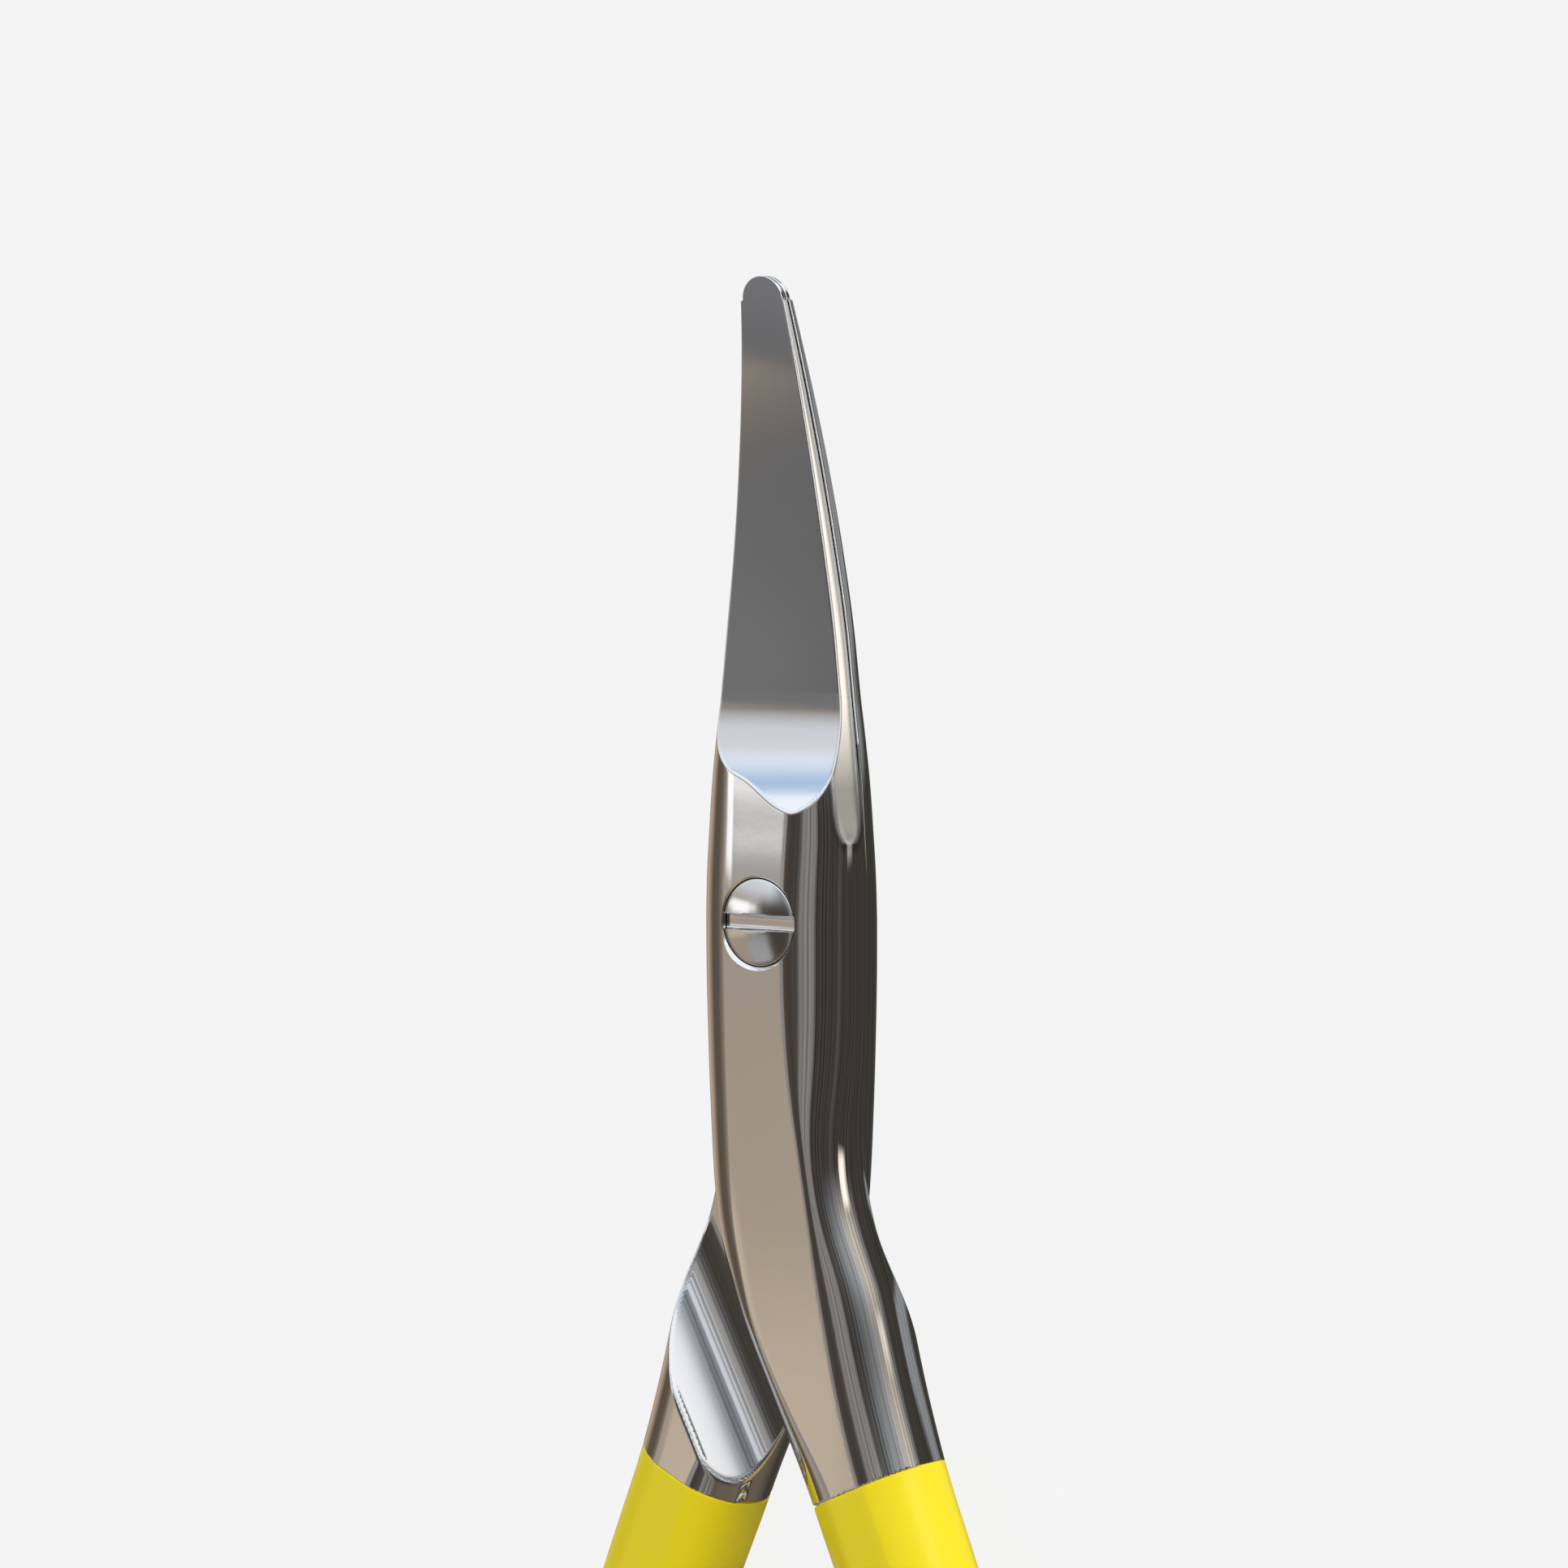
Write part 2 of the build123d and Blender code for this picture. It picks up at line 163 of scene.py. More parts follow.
def side_wall(a, b, w, h):
    """Distance inside the curved side, where a runs 0..1 out from the flat and b 0..1 up."""
    bb = np.maximum(b, 0.0)
    th = np.arctan2(bb, np.maximum(a, 0.0))
    rho = np.hypot(a, bb)
    r = np.interp(th, TH, RHO)
    dr = np.interp(th, TH, DRHO)
    c, s = np.cos(th), np.sin(th)
    rr = np.maximum(rho, 0.3)
    ga = (c + dr * s / rr) / w
    gb = (s - dr * c / rr) / h
    out = (r - rho) / np.sqrt(ga ** 2 + gb ** 2)
    k = 0.12 / 0.543
    flat = ((1 - bb) - k * a) / np.sqrt((k / w) ** 2 + (1 / h) ** 2)
    out = np.where(a < 0, flat, out)
    return np.where(b < 0, (1 - a) * w, out)


def smin(a, b, k=EDGE):
    m = np.maximum(k - np.abs(a - b), 0.0) / k
    return np.minimum(a, b) - m ** 3 * k / 6.0


def section(u, y, v, inset=0.0, mirror=True):
    """Inside distance of the closed section; v is measured from its middle."""
    ul, ur, fl, fr, h = rows_at(y)
    ul, ur, h = ul + inset, ur - inset, h - inset
    fl, fr = fl + 0.3 * inset, fr - 0.3 * inset
    vv = np.abs(v) if mirror else v
    top = h - vv
    right = side_wall((u - fr) / (ur - fr), vv / h, ur - fr, h)
    left = side_wall((fl - u) / (fl - ul), vv / h, fl - ul, h)
    return smin(smin(top, right), left)


def grip_side(u, y, side):
    """Distance beyond the plane where the vinyl starts, along the handle."""
    return (u - 8.7) * math.sin(GRIP_A) - (y + 44.3 - 0.3 * side) * math.cos(GRIP_A)


def relief(u, y, v):
    q = math.cos(AXIS) * u - math.sin(AXIS) * y
    flat = v - PLAY
    arc = np.hypot(q - REL_Q, v - (PLAY - REL_R)) - REL_R
    return np.where(q < REL_Q, flat, np.where(v > PLAY - REL_R, arc, arc))


def ramp_radius(u):
    return 11.9 + 4.1 * np.tanh(u / 2.4)


def ground(u, y, v, side):
    t = ground_c(y) - 0.04 * u * np.clip((54.0 - y) / 25.0, 0, 1)
    t = t + np.clip(18.0 - y, 0, 30) ** 2 / (2 * ramp_radius(u))
    slope = np.where(y < 18.0, (18.0 - y) / ramp_radius(u), 0.0)
    return (t + side * sweep(y) - v) / np.sqrt(1 + slope ** 2)


def bevel(u, y, v, side):
    ub = bevel_c(np.clip(y, 4.0, 54.0)) + np.clip(4.0 - y, 0, 50) * 0.3
    vf = side * sweep(y) + PLAY + FOOT
    return (ub - u) * math.sin(BEVEL) - (v - vf) * math.cos(BEVEL)


def half_parts(u, y, v, side):
    """The signed distances whose least is the half's surface, positive inside."""
    s = side * sweep(y)
    blade = y >= 0
    sec = np.where(blade, section(u, np.maximum(y, 0), v - s, mirror=False), section(u, np.minimum(y, -1e-9), v))
    g = grip_side(u, y, side)
    ins = COAT * np.clip(g / 0.3, 0, 1)
    tang = section(u, np.minimum(y, -1e-9), v, inset=ins)
    sec = np.where(g > 0, tang, sec)
    low = PLAY + SET_BACK * np.clip((y - 9) / 4, 0, 1)
    inner = np.where(blade, v - s - low, relief(u, y, v))
    gr = np.where(y > 2, ground(u, y, v, side), 9.0)
    bv = np.where(y > -2, bevel(u, y, v, side), 9.0)
    tip = np.where(y > TIP_Y - TIP_R, TIP_R - np.hypot(u, y - (TIP_Y - TIP_R)), 9.0)
    tip = np.where((y > 44) & (y <= TIP_Y - TIP_R), 9.0 - 0 * y, tip)
    return [sec, inner, gr, bv, tip]


def half(u, y, v, side):
    f = half_parts(u, y, v, side)
    out = smin(f[0], f[1], np.where(y < -17, 0.38, RIM))
    out = smin(out, f[2])
    out = smin(out, f[3], EDGE * np.clip((y - 5.2) / 4.0, 0.2, 1.0))
    return smin(out, f[4])


def gradient(fn, p, e=2e-3):
    """Outward unit normal of fn(u, y, v) > 0 at the points p."""
    g = np.empty_like(p)
    for k in range(3):
        a, b = p.copy(), p.copy()
        a[:, k] += e
        b[:, k] -= e
        g[:, k] = fn(b[:, 0], b[:, 1], b[:, 2]) - fn(a[:, 0], a[:, 1], a[:, 2])
    return g / np.maximum(np.linalg.norm(g, axis=1, keepdims=True), 1e-12)


# ------------------------------------------------------------------ meshes
def new_mesh(name, verts, faces, normals=None, node=None):
    """Object in the row frame from points in mm. normals are per vertex."""
    me = bpy.data.meshes.new(name)
    me.from_pydata((np.asarray(verts) * MM).tolist(), [], [list(map(int, f)) for f in faces])
    me.update()
    ob = bpy.data.objects.new(name, me)
    bpy.context.scene.collection.objects.link(ob)
    me.polygons.foreach_set("use_smooth", [True] * len(me.polygons))
    if normals is not None:
        me.normals_split_custom_set_from_vertices(np.asarray(normals).tolist())
    if node:
        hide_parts(node)
    return ob


def ring_mesh(rings, cap0=None, cap1=None):
    """Quads between closed rings of equal length, with fan caps to a point."""
    n = rings.shape[1]
    m = rings.shape[0]
    idx = np.arange(m * n).reshape(m, n)
    a, b = idx[:-1], idx[1:]
    quads = np.stack([a, np.roll(a, -1, 1), np.roll(b, -1, 1), b], -1).reshape(-1, 4)
    faces = [tuple(q) for q in quads.tolist()]
    verts = rings.reshape(-1, 3)
    extra = []
    if cap0 is not None:
        k = len(verts) + len(extra)
        extra.append(cap0)
        r = idx[0]
        faces += [(k, int(r[(i + 1) % n]), int(r[i])) for i in range(n)]
    if cap1 is not None:
        k = len(verts) + len(extra)
        extra.append(cap1)
        r = idx[-1]
        faces += [(k, int(r[i]), int(r[(i + 1) % n])) for i in range(n)]
    if extra:
        verts = np.vstack([verts, np.array(extra)])
    return verts, faces


def first_exit(fn, core, dirs, far, steps=22):
    """Where fn first turns negative along each ray, from a core where it is positive."""
    n = len(core)
    lo, hi = np.zeros(n), np.full(n, far)
    flo = fn(core[:, 0], core[:, 1], core[:, 2])
    fhi = np.full(n, -1.0)
    live = np.arange(n)
    for k in range(1, steps + 1):
        t = far * (k / steps) ** 1.3
        p = core[live] + dirs[live] * t
        f = fn(p[:, 0], p[:, 1], p[:, 2])
        out = f <= 0
        hi[live[out]] = t
        fhi[live[out]] = f[out]
        lo[live[~out]] = t
        flo[live[~out]] = f[~out]
        live = live[~out]
        if not len(live):
            break
    for k in range(11):
        if k % 3 == 2:
            mid = 0.5 * (lo + hi)
        else:
            mid = lo + (hi - lo) * np.clip(flo / np.maximum(flo - fhi, 1e-12), 0.02, 0.98)
        p = core + dirs * mid[:, None]
        f = fn(p[:, 0], p[:, 1], p[:, 2])
        ok = f > 0
        lo, flo = np.where(ok, mid, lo), np.where(ok, f, flo)
        hi, fhi = np.where(ok, hi, mid), np.where(ok, fhi, f)
    mid = lo + (hi - lo) * np.clip(flo / np.maximum(flo - fhi, 1e-12), 0, 1)
    return core + dirs * mid[:, None]


CORE = np.array([  # y, u, v, width of the ray fan, height of it
    (-110.5, 17.9, 0.0, 3.0, 2.6), (-106, 18.9, 0.0, 3.5, 3.0), (-98, 20.4, 0.0, 4.0, 3.2), (-88, 21.1, 0.0, 4.2, 3.2),
    (-78, 20.2, 0.0, 4.2, 3.2), (-68, 17.8, 0.0, 4.2, 3.2), (-60, 14.9, 0.0, 4.4, 3.2), (-52, 11.6, 0.2, 5.0, 3.6),
    (-46, 9.3, 1.2, 5.4, 4.0), (-43, 8.3, 2.2, 5.6, 3.6), (-40, 7.7, 2.9, 6.0, 3.0), (-36, 7.3, 3.2, 6.4, 2.4),
    (-32, 5.5, 3.0, 6.6, 2.4), (-28, 3.6, 2.6, 7.0, 2.4), (-24, 1.6, 2.4, 7.0, 2.4), (-18, 0.3, 2.3, 7.0, 2.4),
    (-8, 0.0, 2.3, 7.0, 2.4), (0, 0.0, 2.3, 7.0, 2.4), (7, 0.0, 2.0, 6.9, 2.2), (10, 0.0, 1.6, 6.6, 1.7),
    (13, -0.1, 1.0, 6.2, 1.0), (16, -0.1, 0.75, 6.0, 0.75), (20, -0.1, 0.7, 5.6, 0.7), (28, -0.1, 0.62, 4.7, 0.6),
    (40, -0.05, 0.44, 3.1, 0.42), (48.5, 0.0, 0.30, 2.0, 0.27), (52, 0.0, 0.27, 2.0, 0.24),
])
core_c = [Curve(CORE[:, 0], CORE[:, k]) for k in range(1, 5)]


def core_at(y):
    return [np.interp(y, CORE[:, 0], CORE[:, k]) for k in range(1, 5)]


def smooth_rows(a, times, cyclic=False):
    for _ in range(times):
        b = a.copy()
        b[1:-1] = 0.25 * a[:-2] + 0.5 * a[1:-1] + 0.25 * a[2:]
        a = b
    return a


def half_rings(side, ys, n):
    """Rings of the half's surface at the heights ys."""
    dense = 540
    phi = np.linspace(0, 2 * np.pi, dense, endpoint=False)
    fn = lambda u, y, v: half(u, y, v, side)
    cu, cv, wu, wv = core_at(ys)
    s = side * sweep(ys)
    cv = cv + s

    def shoot(ph, rows):
        c = np.stack([np.repeat(cu[rows], ph.shape[1]), np.repeat(ys[rows], ph.shape[1]), np.repeat(cv[rows], ph.shape[1])], 1)
        d = np.stack([(wu[rows][:, None] * np.cos(ph)).ravel(), np.zeros(ph.size), (wv[rows][:, None] * np.sin(ph)).ravel()], 1)
        return first_exit(fn, c, d, 5.0, 20).reshape(len(rows), -1, 3)

    # spacing by length and turning, found on every fifth ring and smoothed along y
    pick = np.unique(np.r_[np.arange(0, len(ys), 5), len(ys) - 1])
    p = shoot(np.repeat(phi[None], len(pick), 0), pick)
    e = np.roll(p, -1, 1) - p
    length = np.linalg.norm(e, axis=2)
    ang = np.arctan2(e[:, :, 2], e[:, :, 0])
    turn = np.abs((np.diff(np.concatenate([ang[:, -1:], ang], 1), axis=1) + np.pi) % (2 * np.pi) - np.pi)
    turn = np.minimum(turn, 1.2)
    turn = turn + np.roll(turn, 1, 1) + np.roll(turn, -1, 1)
    total = length.sum(1, keepdims=True)
    w = length / total + 0.42 * turn / np.maximum(turn.sum(1, keepdims=True), 1e-9)
    for _ in range(2):
        w = (np.roll(w, 1, 1) + w + np.roll(w, -1, 1)) / 3
    w = smooth_rows(w, 2)
    w = w / w.sum(1, keepdims=True)
    cum = np.concatenate([np.zeros((len(pick), 1)), np.cumsum(w, 1)], 1)
    ph_edge = np.append(phi, 2 * np.pi)
    want = (np.arange(n)) / n
    ph = np.empty((len(pick), n))
    for i in range(len(pick)):
        ph[i] = np.interp(want, cum[i], ph_edge)
    full = np.empty((len(ys), n))
    for j in range(n):
        full[:, j] = np.interp(ys, ys[pick], ph[:, j])
    return shoot(full, np.arange(len(ys)))


def spaced(stops):
    """y values from (y, step) stops, step changing linearly between them."""
    out = [stops[0][0]]
    ya = np.array([s[0] for s in stops])
    st = np.array([s[1] for s in stops])
    while out[-1] < ya[-1] - 1e-6:
        out.append(min(ya[-1], out[-1] + float(np.interp(out[-1], ya, st))))
    if out[-1] - out[-2] < 0.4 * st[-1]:
        out.pop(-2)
    return np.array(out)


def to_row(p, side):
    """Half's own u, y, v to the row frame, mm."""
    q = p.copy()
    q[..., 0] = side * p[..., 0]
    q[..., 2] = ZM + side * p[..., 2]
    return q


def lathe(profile, steps, axis="z", centre=(0, 0, 0), flip=False):
    """Turned solid: profile is (radius, along) points, ending on the axis both ends."""
    pr = np.array(profile, float)
    ang = np.linspace(0, 2 * np.pi, steps, endpoint=False)
    inner = pr[1:-1]
    rings = np.empty((len(inner), steps, 3))
    for i, (r, h) in enumerate(inner):
        a, b, c = r * np.cos(ang), r * np.sin(ang), np.full(steps, h)
        if axis == "z":
            rings[i] = np.stack([a, b, c], 1)
        else:
            rings[i] = np.stack([c, a, b], 1)
    e0 = [0, 0, pr[0, 1]] if axis == "z" else [pr[0, 1], 0, 0]
    e1 = [0, 0, pr[-1, 1]] if axis == "z" else [pr[-1, 1], 0, 0]
    v, f = ring_mesh(rings, e0, e1)
    if flip:
        f = [tuple(reversed(q)) for q in f]
    return v + np.array(centre), f


def rounded(points, radii, n=5):
    """Polyline with its corners rounded; radii give each corner's radius."""
    pts = [np.array(p, float) for p in points]
    out = []
    for i, p in enumerate(pts):
        r = radii[i]
        if i in (0, len(pts) - 1) or r == 0:
            out.append(p)
            continue
        a, b = pts[i - 1] - p, pts[i + 1] - p
        la, lb = np.linalg.norm(a), np.linalg.norm(b)
        a, b = a / la, b / lb
        cosang = np.clip(a @ b, -1, 1)
        half_ang = math.acos(cosang) / 2
        t = min(r / math.tan(half_ang), 0.45 * la, 0.45 * lb)
        p0, p1 = p + a * t, p + b * t
        for k in range(n + 1):
            s = k / n
            out.append((1 - s) ** 2 * p0 + 2 * s * (1 - s) * p + s ** 2 * p1)
    return out


def densify(points, step):
    out = [np.array(points[0], float)]
    for a, b in zip(points, points[1:]):
        a, b = np.array(a, float), np.array(b, float)
        k = max(1, int(np.linalg.norm(b - a) / step))
        out += [a + (b - a) * (i + 1) / k for i in range(k)]
    return out


def boolean(ob, cutter, op="DIFFERENCE"):
    m = ob.modifiers.new("cut", "BOOLEAN")
    m.operation = op
    m.solver = "EXACT"
    m.object = cutter
    dg = bpy.context.evaluated_depsgraph_get()
    me = bpy.data.meshes.new_from_object(ob.evaluated_get(dg))
    ob.modifiers.clear()
    old = ob.data
    ob.data = me
    me.name = old.name
    bpy.data.meshes.remove(old)
    cm = cutter.data
    bpy.data.objects.remove(cutter)
    bpy.data.meshes.remove(cm)


def corner_normals(ob, fns):
    """Custom corner normals: each corner takes the surface in fns that passes through it and agrees best with its face."""
    me = ob.data
    nv, nl, npoly = len(me.vertices), len(me.loops), len(me.polygons)
    co = np.empty(nv * 3)
    me.vertices.foreach_get("co", co)
    co = co.reshape(-1, 3) / MM
    vi = np.empty(nl, np.int64)
    me.loops.foreach_get("vertex_index", vi)
    fnorm = np.empty(npoly * 3)
    me.polygons.foreach_get("normal", fnorm)
    fnorm = fnorm.reshape(-1, 3)
    tot = np.empty(npoly, np.int64)
    me.polygons.foreach_get("loop_total", tot)
    face_of = np.repeat(np.arange(npoly), tot)
    fl = fnorm[face_of]
    best = np.full(nl, 0.35)
    out = fl.copy()
    for value, normal in fns:
        n = normal(co)
        near = np.abs(value(co)) < 0.02
        agree = (n[vi] * fl).sum(1)
        agree = np.where(near[vi], agree, -2)
        use = agree > best
        out[use] = n[vi][use]
        best[use] = agree[use]
    me.polygons.foreach_set("use_smooth", [True] * npoly)
    me.normals_split_custom_set(out.tolist())


def set_attr(ob, name, values):
    at = ob.data.attributes.new(name, "FLOAT", "POINT")
    at.data.foreach_set("value", np.ascontiguousarray(values, dtype=np.float32))


# ------------------------------------------------------------------ the two halves
def make_half(side, name, node):
    ys = spaced([(-110.2, 0.5), (-100, 1.0), (-60, 1.0), (-51, 0.35), (-48.5, 0.15), (-41, 0.14), (-34, 0.15), (-25, 0.17), (-18, 0.32), (-1, 0.26),
                 (0.6, 0.12), (3, 0.22), (7.5, 0.16), (9, 0.08), (13, 0.10), (19.5, 0.14), (24, 0.34), (44, 0.34), (48.3, 0.12), (TIP_Y - 0.02, 0.05)])
    n = int(2 * (95000 / len(ys)) // 2)
    rings = half_rings(side, ys, n)
    cap0 = [rings[0][:, 0].mean(), ys[0] - 0.25, 0.0]
    cap1 = [0.0, TIP_Y - 0.003, side * float(sweep(np.array(TIP_Y))) + 0.30]
    verts, faces = ring_mesh(rings, cap0, cap1)
    if side < 0:
        world = to_row(verts, side)
    else:
        world = to_row(verts, side)
    ob = new_mesh(name, world, faces, node=node)
    fix_winding(ob)
    return ob


def fix_winding(ob):
    """Turns every face so that the closed mesh's volume is positive."""
    me = ob.data
    me.calc_loop_triangles()
    co = np.empty(len(me.vertices) * 3)
    me.vertices.foreach_get("co", co)
    co = co.reshape(-1, 3)
    tri = np.empty(len(me.loop_triangles) * 3, np.int64)
    me.loop_triangles.foreach_get("vertices", tri)
    tri = tri.reshape(-1, 3)
    vol = np.einsum("ij,ij->i", co[tri[:, 0]], np.cross(co[tri[:, 1]], co[tri[:, 2]])).sum()
    if vol < 0:
        me.flip_normals()
    me.update()


def local_of(co, side):
    """Row frame to the half's own u, y, v."""
    return np.stack([side * co[:, 0], co[:, 1], side * (co[:, 2] - ZM)], 1)


def half_surface(side):
    fn = lambda u, y, v: half(u, y, v, side)

    def value(co):
        p = local_of(co, side)
        return fn(p[:, 0], p[:, 1], p[:, 2])

    def normal(co):
        p = local_of(co, side)
        g = gradient(fn, p)
        parts = np.stack(half_parts(p[:, 0], p[:, 1], p[:, 2], side))
        rest = np.min(np.delete(parts, 2, 0), axis=0)
        w = np.clip((rest - parts[2]) / 0.10, 0, 1) * (p[:, 1] < 18.0) * (p[:, 1] > 2.0)
        slope = (18.0 - p[:, 1]) / 11.9
        even = np.stack([0.03 + 0 * slope, slope, 1 + 0 * slope], 1)
        even /= np.linalg.norm(even, axis=1, keepdims=True)
        g = g * (1 - w[:, None]) + even * w[:, None]
        g /= np.linalg.norm(g, axis=1, keepdims=True)
        return np.stack([side * g[:, 0], g[:, 1], side * g[:, 2]], 1)

    return value, normal


def cyl_surface(r, lo, hi):
    """Wall of a bore about the Z axis, its normal towards the axis."""
    def value(co):
        d = np.hypot(co[:, 0], co[:, 1]) - r
        return np.where((co[:, 2] > lo - 0.02) & (co[:, 2] < hi + 0.02), d, 9.0)

    def normal(co):
        rr = np.maximum(np.hypot(co[:, 0], co[:, 1]), 1e-6)
        return np.stack([-co[:, 0] / rr, -co[:, 1] / rr, 0 * rr], 1)

    return value, normal


def turned_surface(profile):
    """Surface of a turned cut about Z: each segment of the (r, z) profile gives its own normal."""
    pr = np.array(profile, float)

    def nearest(co):
        r, z = np.hypot(co[:, 0], co[:, 1]), co[:, 2]
        best = np.full(len(co), 9.0)
        nr, nz = np.zeros(len(co)), np.zeros(len(co))
        for a, b in zip(pr, pr[1:]):
            d = b - a
            l2 = d @ d
            if l2 < 1e-12:
                continue
            t = np.clip(((r - a[0]) * d[0] + (z - a[1]) * d[1]) / l2, 0, 1)
            dist = np.hypot(r - a[0] - t * d[0], z - a[1] - t * d[1])
            use = dist < best
            best[use] = dist[use]
            m = np.array([d[1], -d[0]]) / math.sqrt(l2)
            nr[use], nz[use] = m[0], m[1]
        return best, nr, nz, np.maximum(r, 1e-6)

    def value(co):
        return nearest(co)[0]

    def normal(co):
        _, nr, nz, r = nearest(co)
        return np.stack([-nr * co[:, 0] / r, -nr * co[:, 1] / r, -nz], 1)

    return value, normal


def seat_cut(side):
    """Round spot face and tail hole for the spring stud, along X."""
    prof = [(0, 2.0), (3.73, 2.0), (3.73, 10.0), (2.3, 10.0), (2.3, 13.2), (0, 13.2)]
    v, f = lathe(prof, 96, axis="x")
    v = v * np.array([side, 1, 1]) + np.array([0, SPRING_Y, ZM])
    ob = new_mesh("seat_cut", v, f)
    fix_winding(ob)
    return ob


def mask_half(ob, side):
    """Masks for the painted light on the steel. ground: 1 on the ground faces, darkened as painted shade. tongue: rises
    below y 17.5 and darkens the bevel strip as painted shade. bevel: 1 on the bevel strip and the tip, lightened as a
    painted highlight. rim: 1 on chosen edges, painted as white highlight lines. inner: 1 on the faces turned to the
    other half.
    """
    me = ob.data
    co = np.empty(len(me.vertices) * 3)
    me.vertices.foreach_get("co", co)
    p = local_of(co.reshape(-1, 3) / MM, side)
    parts = half_parts(p[:, 0], p[:, 1], p[:, 2], side)
    k = np.argmin(np.abs(np.stack(parts)), axis=0)
    # ground: 1 on the ground faces above y 16.4; the material darkens them as painted shade
    set_attr(ob, "ground", (k == 2) * np.clip((p[:, 1] - 16.4) / 0.8, 0, 1))
    # tongue: 0 above y 17.5, rising to 1 at y 10.5; the material darkens the bevel strip there as painted shade
    set_attr(ob, "tongue", np.clip((17.5 - p[:, 1]) / 7.0, 0, 1))
    st = np.stack(parts)
    two = np.sort(st, axis=0)[:2]
    order = np.argsort(st, axis=0)[:2]
    # bevel: the bevel strip above y 5 and the tip; the material lightens it as a painted highlight
    near = np.clip(1 - (st[3] - two[0]) / 0.22, 0, 1)
    set_attr(ob, "bevel", np.maximum(near * np.clip((p[:, 1] - 5.0) / 0.8, 0, 1), k == 4))
    # rim: 1 where the two nearest surfaces meet, kept on chosen pairs of surfaces; the material paints white highlight
    # lines there
    rim = np.clip(1 - (two[1] - two[0]) / 0.085, 0, 1)
    pair = order.min(0) * 10 + order.max(0)
    y = p[:, 1]
    keep = np.isin(pair, (2, 23, 24, 34, 14, 4, 12)) & (y > 2)
    keep |= (pair == 3) & (y > 6.3)
    keep |= (pair == 1) & ((y > 14) | (y < -17))
    set_attr(ob, "rim", rim * keep * np.where(pair == 3, np.clip((y - 4) / 14, 0.3, 0.6), 1.0))
    set_attr(ob, "inner", (k == 1).astype(float))


RECESS = rounded([(0, 7.3), (3.52, 7.3), (3.52, 8.92), (3.80, 9.2), (4.4, 9.8), (4.4, 12), (0, 12)],
                 [0, 0.12, 0.10, 0, 0, 0, 0], 5)
RECESS_LINE = [tuple(p) for p in RECESS]


def turned_cutter(profile, name, steps=256):
    v, f = lathe([(0, profile[0][1])] + [p for p in profile if p[0] > 0] + [(0, profile[-1][1])], steps)
    ob = new_mesh(name, v, f)
    fix_winding(ob)
    return ob


front = make_half(1, "front_half", "front_blade_half")
back = make_half(-1, "back_half", "back_blade_half")

bore = [(0, -1), (2.30, -1), (2.30, 7.3)]
front_cut = bore + RECESS_LINE[1:]
boolean(front, turned_cutter(front_cut, "front_cut"))
boolean(front, seat_cut(1))
pocket = rounded([(0, -1), (4.1, -1), (4.1, 1.95), (2.3, 1.95), (2.3, 12), (0, 12)], [0, 0, 0.08, 0.08, 0, 0], 3)
boolean(back, turned_cutter([tuple(p) for p in pocket], "back_cut"))
boolean(back, seat_cut(-1))

front_line = [(2.30, -1), (2.30, 7.3)] + RECESS_LINE[1:]
corner_normals(front, [half_surface(1), turned_surface(front_line)])
corner_normals(back, [half_surface(-1), turned_surface([tuple(p) for p in pocket])])
mask_half(front, 1)
mask_half(back, -1)


# ------------------------------------------------------------------ vinyl grips
GRIP_EDGE = 0.28


def grip_fn(side):
    def fn(u, y, v):
        g = grip_side(u, y, side)
        return smin(section(u, np.minimum(y, -1e-9), v), g, GRIP_EDGE)
    return fn


